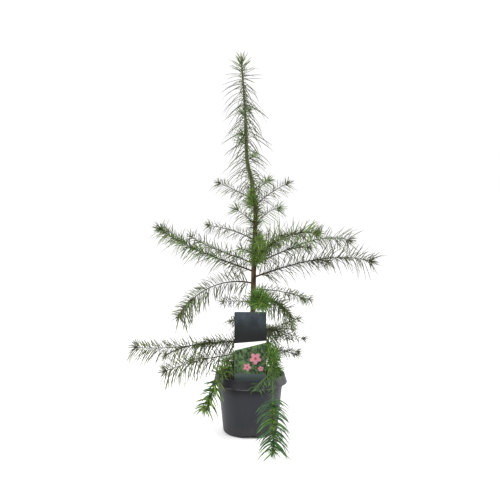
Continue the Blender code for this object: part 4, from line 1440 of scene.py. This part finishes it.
def make_needle_tree():
    tree, given, result = new_group(
        "needles_on_points", "GeometryNodeTree",
        [("Geometry", GEOMETRY, None), ("Segments", INTEGER, 5), ("Sides", INTEGER, 4),
         ("Thickness", FLOAT, 0.4), ("Root", FLOAT, 0.5), ("Swell", FLOAT, 0.3), ("Tip", FLOAT, 0.2),
         ("Material", MATERIAL, None)],
        [("Geometry", GEOMETRY)])
    axes = {0: named(tree, "aim", "FLOAT_VECTOR"), 1: named(tree, "side", "FLOAT_VECTOR")}
    turn = add(tree, "FunctionNodeAxesToRotation", axes, primary_axis="Z", secondary_axis="X").outputs[0]
    half = times(tree, named(tree, "width"), 0.5)
    size = vector_of(tree, half, half, named(tree, "reach"))
    copies = add(tree, "GeometryNodeInstanceOnPoints",
                 {"Points": given["Geometry"], "Instance": unit_needle(tree, given), "Rotation": turn,
                  "Scale": size})
    share = math_node(tree, "POWER", named(tree, "along"), BEND_POWER)
    bend = {0: named(tree, "bend", "FLOAT_VECTOR"), "Scale": share}
    bent = add(tree, "ShaderNodeVectorMath", bend, operation="SCALE").outputs[0]
    return end_tree(tree, copies, bent, given["Material"], result)


needle_tree = make_needle_tree()
print("the needle tree has", len(needle_tree.nodes), "nodes")

# %% Points that carry each needle's values
Needle = namedtuple("Needle", "root aim side bend reach width")
NEEDLE_VALUES = {"aim": "vector", "side": "vector", "bend": "vector", "reach": "value", "width": "value"}
SHAPE_LABELS = ("Segments", "Sides", "Thickness", "Root", "Swell", "Tip")


def points_for(needles):
    """A mesh of loose points that carry what each needle needs."""
    mesh = bpy.data.meshes.new("needle_points")
    mesh.from_pydata([tuple(n.root) for n in needles], [], [])
    for label, kind in NEEDLE_VALUES.items():
        layer = mesh.attributes.new(label, "FLOAT_VECTOR" if kind == "vector" else "FLOAT", "POINT")
        values = np.array([getattr(n, label) for n in needles], dtype=np.float32).ravel()
        layer.data.foreach_set(kind, values)
    return put_in_scene("needle_points", mesh)


def make_needles(name, needles, finish_used, slot, nodes, shape):
    values = {**dict(zip(SHAPE_LABELS, shape)), "Material": finish_used}
    made = grown(name, points_for(needles), needle_tree, values)
    for label in (*NEEDLE_VALUES, "along"):
        if label in made.data.attributes:
            made.data.attributes.remove(made.data.attributes[label])
    made.data.shade_smooth()
    settle(made, slot, *nodes)


print("each point carries", list(NEEDLE_VALUES))

# %% [markdown]
# ### Tones of green
#
# New growth in the middle of the crown is bright, the long side shoots are
# olive and darker where they hang, and the shoots that droop in front of the
# pot are a bluish, glossy green. Each spray, a few millimetres of shoot, is
# dealt one tone, mostly its bough's own and now and then a neighbouring one.

# %% Finishes of needles
TONES = {  # dark and light tone, and roughness
    "fresh": (rgb(57, 88, 26), rgb(124, 153, 68), 0.48),
    "mid": (rgb(51, 67, 28), rgb(110, 125, 70), 0.50),
    "olive": (rgb(46, 53, 30), rgb(92, 100, 63), 0.52),
    "shade": (rgb(37, 42, 30), rgb(76, 80, 61), 0.55),
    "deep": (rgb(18, 44, 24), rgb(76, 110, 70), 0.40),
    "pale": (rgb(58, 64, 38), rgb(112, 119, 80), 0.52),
    "vivid": (rgb(29, 61, 15), rgb(96, 136, 56), 0.45),
}
MIXES = {  # the tones that a spray may get
    "fresh": ("fresh", "fresh", "fresh", "mid"),
    "young": ("fresh", "fresh", "mid"),
    "vivid": ("vivid", "vivid", "vivid", "fresh"),
    "lush": ("fresh", "mid", "deep"),
    "mid": ("mid", "mid", "olive", "fresh"),
    "olive": ("olive", "olive", "mid", "shade"),
    "pale": ("pale", "pale", "olive", "mid"),
    "sunny": ("fresh", "pale"),
    "shade": ("shade", "olive", "olive"),
    "deep": ("deep", "deep", "deep", "vivid"),
}
needle_finishes = {
    tone: finish("needle_" + tone, dark, light, roughness, tone=(70.0, 1.0, 0.3), relief=(900.0, 0.3, 0.0),
                 depth=0.00006, shine=0.2)
    for tone, (dark, light, roughness) in TONES.items()
}
bud_scale = finish("bud_scale", rgb(64, 34, 18), rgb(118, 74, 40), 0.5,
                   tone=(500.0, 1.0, 0.25), relief=(1500.0, 1.0, 0.8), depth=0.0002)
print(len(needle_finishes), "tones of needles")

# %% [markdown]
# ### How needles stand on a shoot
#
# Each needle sits about a golden angle further round the shoot than the one
# before it. Near the trunk the needles stand off the shoot almost squarely,
# and towards its tip most of them lean on along it. On many shoots those on
# the upper side are short and those below are long. A needle sets off a
# little higher than its straight way, and its own weight brings its tip back
# down to it. A `Style` holds the values by which kinds of shoot differ.

# %% Styles of shoot
# Spacing and width are sizes. Length, foot and tip run from the upper side to
# the lower one: foot and tip are the lean in degrees at the shoot's two ends.
# Comb draws the needles to the left and right of the shoot, or above and
# below it where it is negative, and wild scales everything dealt by chance.
Style = namedtuple("Style", "spacing length foot tip droop width arch comb wild")
STYLES = {name: Style(*values) for name, values in {
    "side": (0.00180, (0.033, 0.050), (82, 66), (60, 60), (0.00, 0.10), 0.0020, 0.38, -0.2, 1.2),
    "long": (0.00200, (0.046, 0.056), (68, 66), (46, 60), (0.00, 0.10), 0.0021, 0.38, -0.3, 1.2),
    "lace": (0.00150, (0.022, 0.038), (76, 70), (54, 62), (0.00, 0.12), 0.0017, 0.34, -0.2, 1.0),
    "fan": (0.00150, (0.062, 0.034), (60, 60), (50, 56), (0.00, 0.04), 0.0020, 0.42, -0.2, 1.4),
    "brush": (0.00210, (0.021, 0.026), (66, 66), (52, 60), (0.00, 0.10), 0.0020, 0.30, -0.4, 0.8),
    "comb": (0.00170, (0.037, 0.048), (62, 66), (52, 60), (0.00, 0.10), 0.0024, 0.30, -0.5, 0.6),
    "web": (0.00110, (0.018, 0.030), (66, 66), (66, 66), (0.00, 0.10), 0.0016, 0.30, 0.0, 1.6),
    "sparse": (0.00150, (0.028, 0.062), (72, 66), (58, 60), (0.00, 0.10), 0.0023, 0.34, -0.35, 0.5),
    "fringe": (0.00105, (0.030, 0.062), (72, 66), (58, 58), (0.00, 0.08), 0.0023, 0.34, -0.35, 0.6),
    "fine": (0.00150, (0.017, 0.030), (74, 66), (56, 60), (0.00, 0.10), 0.0018, 0.30, 0.0, 1.0),
    "short": (0.00165, (0.018, 0.031), (70, 64), (48, 56), (0.00, 0.10), 0.0019, 0.30, 0.0, 1.0),
    "fresh": (0.00120, (0.026, 0.033), (74, 70), (46, 52), (0.00, 0.06), 0.0020, 0.22, 0.0, 0.8),
    "flat": (0.00175, (0.038, 0.050), (74, 74), (50, 50), (0.00, 0.06), 0.0045, 0.50, 0.5, 0.4),
    "blade": (0.00220, (0.034, 0.042), (72, 72), (48, 48), (0.00, 0.06), 0.0058, 0.40, 0.4, 0.6),
    "core": (0.00055, (0.010, 0.017), (60, 60), (40, 44), (0.00, 0.05), 0.0020, 0.20, 0.0, 0.8),
    "plush": (0.00080, (0.016, 0.023), (64, 64), (46, 50), (0.00, 0.05), 0.0018, 0.25, 0.0, 1.2),
    "wisp": (0.00150, (0.009, 0.017), (60, 60), (44, 50), (0.00, 0.05), 0.0018, 0.20, 0.0, 1.0),
}.items()}
print(len(STYLES), "styles of shoot")

# %% [markdown]
# ### Where a needle has room
#
# A needle that would enter the pot, the card or the trunk is skipped, and so
# is one that would hang in front of the card's printed face. Those that stay
# are kept by tone, because each tone becomes one mesh, and the nodes that
# they stand for are noted beside them.

# %% Room for a needle
FLOOR_GAP = 0.004
NEEDLE_ROOM = 0.0012
NEEDLE_TESTS = (0.35, 0.7, 1.0)  # shares of its length where a needle is tested for room
RIM_VIEW = 0.170  # height above which the card is seen over the rim


def clear_of_pot(point):
    """True if a point is outside the pot, the compost, the card and the floor, with room for a needle."""
    x, z, room = abs(point.x), point.z, NEEDLE_ROOM
    if z < FLOOR_GAP + room:
        return False
    near_card = abs(point.y - CARD_Y) < CARD_THICK / 2 + CARD_BOW + room
    if near_card and x < CARD_WIDTH / 2 + room and z < CARD_TOP + room:
        return False
    outside = math.hypot(point.x, point.y)
    if z > POT_HEIGHT + room or outside > SKIRT_LIP_RADIUS + room:
        return True
    return outside < inner_radius(POT_HEIGHT) - 2 * room and z > SOIL_TOP + room


def hides_card(point):
    """True for a point in front of the card's printed face."""
    return point.y < CARD_Y and abs(point.x) < CARD_WIDTH / 2 and RIM_VIEW < point.z < CARD_TOP


def needle_is_free(root, way, length):
    for share in NEEDLE_TESTS:
        point = root + way * (length * share)
        if not clear_of_pot(point) or hides_card(point):
            return False
        if point.z < LEADER_TOP:
            centre, radius = trunk_at(max(point.z, SOIL_TOP))
            if (point - centre).length < radius + NEEDLE_ROOM:
                return False
    return True


print("a point level with the rim has room above the compost:", clear_of_pot(UP * POT_HEIGHT))

# %% A single needle and its peg
ROLL = 1.3  # radians
PEG = (0.0014, 0.0010)  # reach and width
PEG_LEAN, PEG_BACK = 0.35, 0.6
sprays = {tone: [] for tone in TONES}
spray_nodes = {tone: set() for tone in TONES}
pegs, buds = [], []


def flat_side(way, chance):
    """A level direction across the needle, rolled a little by chance."""
    side = level_side(way).normalized()
    roll = chance.uniform(-ROLL, ROLL)
    return side * math.cos(roll) + side.cross(way) * math.sin(roll)


def add_needle(root, way, length, width, lift, tone, nodes, chance):
    """A needle whose tip lies on its straight way and whose aim starts off it."""
    if not needle_is_free(root, way, length):
        return False
    aim = (way + lift).normalized()
    sprays[tone].append(Needle(root, aim, flat_side(aim, chance), (way - aim) * length, length, width))
    spray_nodes[tone].update(nodes)
    return True


def add_peg(root, along, out):
    aim = (along + out * PEG_LEAN).normalized()
    pegs.append(Needle(root - along * PEG[0] * PEG_BACK, aim, out.cross(along).normalized(), Vector(), *PEG))


print("tones to fill:", list(sprays))

# %% How a needle of a spiral stands
AROUND_JITTER = 0.7  # radians
LEAN_JITTER = 15  # degrees
BOW_JITTER, SIDE_BOW = (-0.9, 0.7), 0.5
SHORTEST, LONGEST = 0.35, 1.12  # loss at full wildness, and gain
UPPER_SIDE, LOWER_SIDE = 0.25, 0.6  # how low on a shoot needles are short, and how low they are long
ROOT_SUNK = 0.8  # part of the shoot's radius at which a needle starts


def round_way(turn, around):
    """The direction at an angle round a limb whose side and lift are given."""
    side, lift = turn
    return side * math.cos(around) + lift * math.sin(around)


def combed(angle, comb):
    """An angle round the shoot, drawn to its left or right, or up or down where comb is negative."""
    middle = 0.0 if comb > 0 else math.pi / 2
    flat = middle if math.cos(angle - middle) > 0 else middle + math.pi
    return flat + math.remainder(angle - flat, 2 * math.pi) * (1 - abs(comb))


def needle_round(limb, k, t, share, turn, around, style, chance):
    """Root, way, length, bow and outward direction of one needle between two rings of a limb."""
    angle = around + chance.uniform(-AROUND_JITTER, AROUND_JITTER) * style.wild
    radial = round_way(turn, combed(angle, style.comb))
    root = limb.points[k].lerp(limb.points[k + 1], t) + radial * between(limb.radii[k:k + 2], t) * ROOT_SUNK
    low = (1 - radial.z) / 2
    lean = between((between(style.foot, low), between(style.tip, low)), share)
    tilt = math.radians(lean + chance.uniform(-LEAN_JITTER, LEAN_JITTER) * style.wild)
    way = limb.ways[k] * math.cos(tilt) + radial * math.sin(tilt)
    way = (way - UP * between(style.droop, low)).normalized()
    length = between(style.length, smooth(low, UPPER_SIDE, LOWER_SIDE))
    length *= chance.uniform(1 - SHORTEST * style.wild, LONGEST)
    bow = UP * style.arch * (1 + chance.uniform(*BOW_JITTER) * style.wild)
    return root, way, length, bow + turn[0] * chance.uniform(-SIDE_BOW, SIDE_BOW), radial


print("an angle of 1 radian, combed by half:", round(combed(1.0, 0.5), 3))

# %% A spiral of needles
GOLDEN = math.pi * (3 - math.sqrt(5))
SPACING_JITTER = (0.7, 1.3)
SPRAY_LENGTH = 0.006


def grow_spiral(limb, style, tone, nodes, chance, low_share, high_share=1.0):
    """Needles round a limb, between two shares of its length, each on its peg."""
    marks = [0.0]
    for here, ahead in zip(limb.points, limb.points[1:]):
        marks.append(marks[-1] + (ahead - here).length)
    turns = frames(limb.ways)
    around = chance.uniform(0, 2 * math.pi)
    mark, end = marks[-1] * low_share, marks[-1] * high_share
    k, spray_end, spray_tone = 0, 0.0, tone
    while mark < end:
        while marks[k + 1] < mark:
            k += 1
        if mark > spray_end:
            spray_end, spray_tone = mark + SPRAY_LENGTH, chance.choice(MIXES[tone])
        t = (mark - marks[k]) / (marks[k + 1] - marks[k])
        share = mark / marks[-1]
        root, way, length, bow, radial = needle_round(limb, k, t, share, turns[k], around, style, chance)
        if add_needle(root, way, length, style.width, bow, spray_tone, nodes, chance):
            add_peg(root, limb.ways[k], radial)
        around += GOLDEN
        mark += style.spacing * chance.uniform(*SPACING_JITTER)


print("a golden angle is", round(math.degrees(GOLDEN), 1), "degrees")

# %% A tuft at a tip
TUFT_WIDTH = 0.0020
TUFT_BACK = (0.0005, 0.0070)  # from the tip back to the roots of the inner and outer needles
TUFT_JITTER = 8  # degrees
TUFT_BOW, TUFT_RISE = 0.3, 0.2
TUFT_SUNK = 0.6
BUD = (0.0040, 0.0026)  # reach and width
BUD_BACK = 0.0008


def add_tuft(limb, count, lengths, tilts, tone, nodes, chance):
    """Needles that spread from the tip of a limb, the outer ones from further back, and its bud."""
    tip, way = limb.points[-1], limb.ways[-1]
    turn = frames(limb.ways)[-1]
    for i in range(count):
        share = i / (count - 1)
        radial = round_way(turn, i * GOLDEN)
        tilt = math.radians(between(tilts, share) + chance.uniform(-TUFT_JITTER, TUFT_JITTER))
        aim = way * math.cos(tilt) + radial * math.sin(tilt)
        root = tip - way * between(TUFT_BACK, share) + radial * limb.radii[-1] * TUFT_SUNK
        bow = radial * chance.uniform(0.0, TUFT_BOW) + UP * chance.uniform(0.0, TUFT_RISE)
        length = chance.uniform(*lengths)
        add_needle(root, aim, length, TUFT_WIDTH, bow, chance.choice(MIXES[tone]), nodes, chance)
    buds.append(Needle(tip - way * BUD_BACK, way, turn[0], Vector(), *BUD))


print("a bud is", 1000 * BUD[0], "mm long")

# %% [markdown]
# ### Boughs, twigs and crowded clumps
#
# Some shoots carry one layer of needles along their whole length. On others
# the kind changes along the way, or short young needles make a green core
# among the long ones: `LAYERS` lists those. Where the lowest shoots cross the
# rim, and round the trunk, stand crowds of side shoots less than a finger
# long, and `CLUMPS` says how many and where.

# %% Layers of needles
LAYERS = {  # style, mix and shares of the length of each layer of needles on a shoot
    "low_left_long": [
        ("sparse", "olive", 0.03, 0.40), ("sparse", "pale", 0.40, 0.60), ("fringe", "pale", 0.60, 1.0),
        ("core", "mid", 0.12, 0.50)],
    "low_left": [("sparse", "olive", 0.04, 0.50), ("fringe", "pale", 0.50, 1.0)],
    "low_front_left": [
        ("fresh", "lush", 0.06, 0.52), ("wisp", "lush", 0.52, 0.68), ("blade", "lush", 0.60, 1.0),
        ("core", "young", 0.68, 1.0)],
    "low_front_right": [
        ("fresh", "lush", 0.04, 0.44), ("wisp", "deep", 0.44, 0.70), ("flat", "deep", 0.64, 1.0),
        ("core", "lush", 0.66, 1.0)],
    "low_right": [("fine", "olive", 0.08, 1.0), ("web", "shade", 0.05, 0.50)],
    "low_right_back": [("fine", "olive", 0.06, 1.0), ("core", "shade", 0.05, 0.40)],
    "low_back_left": [("sparse", "olive", 0.05, 0.60), ("fine", "shade", 0.60, 1.0)],
    "mid_right_droop": [
        ("side", "olive", 0.08, 1.0), ("sparse", "pale", 0.06, 0.72), ("core", "mid", 0.35, 0.90)],
    "mid_left_droop": [
        ("comb", "shade", 0.04, 0.50), ("fringe", "pale", 0.50, 1.0), ("core", "sunny", 0.70, 1.0)],
    "mid_left_long": [
        ("side", "olive", 0.04, 1.0), ("wisp", "mid", 0.12, 0.40), ("plush", "sunny", 0.40, 1.0),
        ("lace", "sunny", 0.55, 0.96)],
    "mid_left_back": [("side", "olive", 0.06, 1.0), ("wisp", "mid", 0.20, 0.90)],
    "mid_right_front": [
        ("fan", "mid", 0.03, 0.55), ("fan", "pale", 0.02, 0.36), ("web", "lush", 0.04, 0.45),
        ("long", "sunny", 0.55, 1.0), ("plush", "sunny", 0.52, 1.0)],
    "mid_right_long": [("long", "shade", 0.04, 1.0), ("wisp", "olive", 0.06, 1.0)],
    "mid_right_back_long": [("long", "shade", 0.04, 1.0), ("wisp", "mid", 0.30, 1.0)],
    "front_clump_low": [("core", "vivid", 0.15, 1.0)],
    "front_clump_mid": [("fine", "young", 0.02, 1.0), ("core", "young", 0.10, 0.60)],
    "front_clump_top": [("core", "fresh", 0.10, 1.0)],
}
BARE_FOOT = 0.010  # bare part next to the trunk, on a shoot with one layer
TWIG_FOOT = 0.06  # share of a twig's length that is bare
TUFT = (21, (0.015, 0.028), (8, 76))  # count, lengths and tilts
TWIG_TUFT = (14, (0.012, 0.020), (10, 75))
DROOPING_TUFT = (9, (0.008, 0.013), (8, 50))
SMALL_TUFTS = ("low_back_left", "low_right", "low_right_back", "low_right_short", "mid_left_back",
               "mid_right_back", "high_left_thin", "top_left", "top_right")


def clothe(name, bough, chance):
    """All needles of a bough and its twigs."""
    nodes = ["foliage_" + name]
    whole = [(bough.style, bough.tone, BARE_FOOT / bough.length, 1.0)]
    for style, mix, low, high in LAYERS.get(name, whole):
        grow_spiral(LIMBS[name], STYLES[style], mix, nodes, chance, low, high)
    add_tuft(LIMBS[name], *(TWIG_TUFT if name in SMALL_TUFTS else TUFT), bough.tone, nodes, chance)
    for twig in FINE_TWIGS[name]:
        grow_spiral(twig, STYLES["fine"], bough.tone, nodes, chance, TWIG_FOOT)
        add_tuft(twig, *(DROOPING_TUFT if bough.style == "flat" else TWIG_TUFT), bough.tone, nodes, chance)


for index, (name, bough) in enumerate(BOUGHS.items()):
    clothe(name, bough, random.Random(SEED * 100 + index))
print({tone: len(found) for tone, found in sprays.items()}, "needles on boughs and twigs")

# %% Crowded clumps
CLUMPS = [  # bough, count, shares of the length between which they leave, mix, and lean
    ("low_front_right", 26, (0.12, 0.40), "vivid", (0.2, 0, 0.5)),
    ("low_front_right", 10, (0.10, 0.34), "deep", (-0.8, 0.2, -0.3)),
    ("low_front_left", 12, (0.16, 0.55), "lush", (0, 0, 0.5)),
    ("front_clump_low", 24, (0.12, 0.95), "vivid", (0.4, 0, -0.6)),
    ("front_clump_mid", 10, (0.08, 0.60), "young", (1.0, 0, 0)),
    ("front_clump_top", 4, (0.05, 0.30), "young", (-1.0, 0, -0.2)),
]
CLUMP_LENGTH = (0.008, 0.020)
CLUMP_TUFT = (17, (0.018, 0.031), (8, 82))
CLUMP_RADIUS = 0.0008
CLUMP_ALONG = 0.6  # how much a shoot of a clump leans along its bough
CLUMP_JITTER = 0.4  # radians
SHOOT_LIFT, SHOOT_TAPER = 0.25, 0.8


def short_shoot(foot, way, length, radius):
    """A stub of three rings that curves up a little."""
    middle = foot + way * (length / 2)
    up_way = (way + UP * SHOOT_LIFT).normalized()
    points = [foot, middle, middle + up_way * (length / 2)]
    return Limb(points, [way, way, up_way], [radius, radius, radius * SHOOT_TAPER])


def grow_clump(name, count, shares, mix, lean, chance):
    limb = LIMBS[name]
    turns = frames(limb.ways)
    for i in range(count):
        k = round(between(shares, i / (count - 1)) * (len(limb.points) - 1))
        radial = round_way(turns[k], i * GOLDEN + chance.uniform(-CLUMP_JITTER, CLUMP_JITTER))
        way = (limb.ways[k] * CLUMP_ALONG + radial + Vector(lean)).normalized()
        length = chance.uniform(*CLUMP_LENGTH)
        if needle_is_free(limb.points[k], way, length):
            shoot = short_shoot(limb.points[k], way, length, CLUMP_RADIUS)
            stem_skins["stems_green"][0].add(shoot, STEM_SIDES)
            add_tuft(shoot, *CLUMP_TUFT, mix, ["foliage_" + name], chance)


for index, clump in enumerate(CLUMPS):
    grow_clump(*clump, random.Random(SEED * 200 + index))
print({tone: len(found) for tone, found in sprays.items()}, "needles with the clumps'")

# %% [markdown]
# ### Spurs on the trunk
#
# On last year's wood a larch makes spurs, stubs of a few millimetres with a
# rosette of needles each. They crowd the middle of the trunk, so there the
# bark hardly shows, and single fine needles fill in between them. A few
# longer ones stand on the leader.

# %% Spurs
SPUR_FROM, SPUR_TO, SPUR_STEP = 0.446, 0.628, 0.0065
SPUR_LENGTH = (0.004, 0.009)
SPUR_RADIUS = 0.0010
SPUR_RISE = (10, 45)  # degrees
SPUR_SUNK = 0.5  # part of the trunk's radius where a spur starts
SPUR_TUFT = (8, (0.012, 0.028), (20, 86))
SPUR_TONES = ("mid", "olive", "mid", "fresh")
FRONT = -90  # azimuth of the viewer's side
LEADER_SPURS = [  # height, azimuth and length
    (0.700, -20, 0.016),
    (0.741, 195, 0.011),
    (0.762, 170, 0.008),
    (0.812, 185, 0.010),
    (0.821, -15, 0.009),
]
WEB_FROM, WEB_TO = 0.47, 0.66


def add_spur(height, azimuth, length, tuft, tone, chance):
    centre, radius = trunk_at(height)
    out = heading(azimuth, chance.uniform(*SPUR_RISE))
    sunk = radius * SPUR_SUNK
    shoot = short_shoot(centre + out * sunk, out, length + sunk, SPUR_RADIUS)
    stem_skins["stems_olive"][0].add(shoot, STEM_SIDES)
    add_tuft(shoot, *tuft, tone, [], chance)


chance = random.Random(SEED * 3)
for index, height in enumerate(spread(SPUR_FROM, SPUR_TO, SPUR_STEP)):
    azimuth, length = FRONT + math.degrees(GOLDEN) * index, chance.uniform(*SPUR_LENGTH)
    add_spur(height, azimuth, length, SPUR_TUFT, SPUR_TONES[index % len(SPUR_TONES)], chance)
for height, azimuth, length in LEADER_SPURS:
    add_spur(height, azimuth, length, CLUMP_TUFT, "mid", chance)
grow_spiral(trunk_limb(WEB_FROM, WEB_TO, TRUNK_STEP), STYLES["web"], "mid", [], chance, 0)
for label, (skin, used, nodes) in stem_skins.items():
    settle(skin.make(label, used), "bark", *nodes)

# %% [markdown]
# ### The leader's needles
#
# On the leader the needles stand all round, up at the very tip and arching
# out and down below it, like a bottle brush that got wet. They are the
# longest of all, and they shorten over the last few centimetres. Short
# needles hug the stem among them, as they do on the side shoots.

# %% The leader's long needles
LEADER_LOWEST, LEADER_END = LEADER_FOOT - 0.02, LEADER_TOP - 0.001
LEADER_SPACING = 0.0020
LEADER_CROWD = (0.30, 1)  # share of the spacing at the tip and where the needles are grown
LEADER_NEEDLE, LEADER_WIDTH = 0.078, 0.0023
LEADER_LENGTHS = (0.7, 1.06)
LEADER_RISE = (66, -42)  # of a needle's straight way in degrees, at the tip and lower down
LEADER_RISE_JITTER = 16  # degrees
LEADER_TURN = 0.066  # length below the tip over which the rise changes
LEADER_GROWN = 0.08  # length below the tip over which needles come to their full length
LEADER_SHORT = (0.36, 1)  # share of their full length, at the tip and lower down
LEADER_YOUNG = 0.4  # share of LEADER_GROWN in which needles are still young
LEADER_ARCH, LEADER_ARCHES = 0.42, (0.3, 1.4)
AZIMUTH_JITTER = 20  # degrees
BARK_SUNK = 0.7  # part of the bark's thickness at which a needle starts
TOP_BUD, TOP_BUD_RISE = (0.0060, 0.0034), 0.0055


def leader_root(z, around, chance):
    """A root in the leader's bark, its azimuth, and the way out from there."""
    centre, radius = trunk_at(z)
    azimuth = math.degrees(around) + chance.uniform(-AZIMUTH_JITTER, AZIMUTH_JITTER)
    out = heading(azimuth)
    return centre + out * (radius + bark_at(z) * BARK_SUNK), azimuth, out


def grow_leader(chance):
    around, z = 0.0, LEADER_LOWEST
    while z < LEADER_END:
        down = min(max((LEADER_TOP - z) / LEADER_TURN, 0), 1)
        grown_share = min((LEADER_TOP - z) / LEADER_GROWN, 1)
        root, azimuth, out = leader_root(z, around, chance)
        rise = between(LEADER_RISE, down) + chance.uniform(-LEADER_RISE_JITTER, LEADER_RISE_JITTER)
        length = LEADER_NEEDLE * between(LEADER_SHORT, grown_share) * chance.uniform(*LEADER_LENGTHS)
        arch = UP * LEADER_ARCH * down * chance.uniform(*LEADER_ARCHES)
        arch += out.cross(UP) * chance.uniform(-SIDE_BOW, SIDE_BOW)
        tone = "mid" if grown_share < LEADER_YOUNG else chance.choice(MIXES["shade"])
        if add_needle(root, heading(azimuth, rise), length, LEADER_WIDTH, arch, tone, LEADER_NODES, chance):
            add_peg(root, UP, out)
        around += GOLDEN
        z += LEADER_SPACING * chance.uniform(*SPACING_JITTER) * between(LEADER_CROWD, grown_share)
    buds.append(Needle(trunk_at(LEADER_TOP)[0] + UP * TOP_BUD_RISE, UP, ACROSS, Vector(), *TOP_BUD))


grow_leader(random.Random(SEED * 7))
print({tone: len(found) for tone, found in sprays.items()}, "needles with the leader's long ones")

# %% The leader's short needles
HUG_SPACING = 0.00095
HUG_END = LEADER_TOP - 0.012
HUG_NEEDLE, HUG_WIDTH, HUG_BOW = (0.008, 0.015), 0.0016, 0.2
HUG_RISE = (-40, 50)  # degrees


def grow_hugging(chance):
    around, z = 1.0, LEADER_FOOT
    while z < HUG_END:
        root, azimuth, _ = leader_root(z, around, chance)
        way = heading(azimuth, chance.uniform(*HUG_RISE))
        length = chance.uniform(*HUG_NEEDLE)
        tone = chance.choice(MIXES["olive"])
        add_needle(root, way, length, HUG_WIDTH, UP * HUG_BOW, tone, LEADER_NODES, chance)
        around += GOLDEN
        z += HUG_SPACING


grow_hugging(random.Random(SEED * 8))
print(sum(len(found) for found in sprays.values()), "needles in all")

# %% Needles, pegs and buds as meshes
NEEDLE_SHAPE = (5, 4, 0.55, 0.5, 0.25, 0.22)
PEG_SHAPE = (2, 4, 0.8, 0.4, 0.6, 0.4)
BUD_SHAPE = (6, 8, 1.0, 0.45, 0.4, 0.2)
for tone, needles in sprays.items():
    nodes = sorted(spray_nodes[tone])
    make_needles("needles_" + tone, needles, needle_finishes[tone], "needles", nodes, NEEDLE_SHAPE)
make_needles("leaf_pegs", pegs, stem_olive, "bark", [], PEG_SHAPE)
make_needles("buds", buds, bud_scale, "bark", [], BUD_SHAPE)

# %% [markdown]
# ## Floor, light and background
#
# The plant was photographed on white. A wide pale floor carries its soft
# shadow, and a white world fills in from all sides. Large soft lamps shape
# it: the key from the front left and above, a weaker fill from the right, and
# one at each side and a little behind, which draw the pale edges down the
# dark pot. The Standard view transform keeps white white.

# %% The floor
FLOOR_HALF = 60.0
floor_finish = finish("floor_finish", rgb(250, 250, 250), rgb(252, 252, 252), 0.9,
                      tone=(0.6, 1.0, 0.4), relief=(8.0, 1.0, 0.0), depth=0.00001)
corners = [(x * FLOOR_HALF, y * FLOOR_HALF, 0) for x, y in ((-1, -1), (1, -1), (1, 1), (-1, 1))]
floor = piece("studio_floor", corners, [(0, 1, 2, 3)], floor_finish)
print("the floor is", 2 * FLOOR_HALF, "m wide")

# %% World and lamps
SKY_STRENGTH = 1.06
LAMPS = {  # place, aim, width, height and watts
    "key": ((-1.5, -1.9, 2.3), (0, 0, 0.42), 1.6, 1.6, 46),
    "fill": ((1.9, -1.5, 1.2), (0, 0, 0.35), 1.4, 1.6, 18),
    "edge_left": ((-1.5, 0.5, 0.7), (0, 0, 0.20), 0.5, 1.4, 15),
    "edge_right": ((1.5, 0.5, 0.7), (0, 0, 0.20), 0.5, 1.4, 15),
}
world = bpy.data.worlds.new("white_studio")
world.use_nodes = True
sky = world.node_tree.nodes["Background"]
sky.inputs["Color"].default_value = (1, 1, 1, 1)
sky.inputs["Strength"].default_value = SKY_STRENGTH
bpy.context.scene.world = world
bpy.context.scene.view_settings.view_transform = "Standard"


def add_lamp(name, place, aim, width, height, watts):
    light = bpy.data.lights.new(name, "AREA")
    light.shape, light.size, light.size_y, light.energy = "RECTANGLE", width, height, watts
    lamp = put_in_scene(name, light)
    lamp.location = place
    lamp.rotation_euler = (Vector(aim) - Vector(place)).to_track_quat("-Z", "Y").to_euler()


for lamp_name, setting in LAMPS.items():
    add_lamp(lamp_name, *setting)
print(len(LAMPS), "lamps")
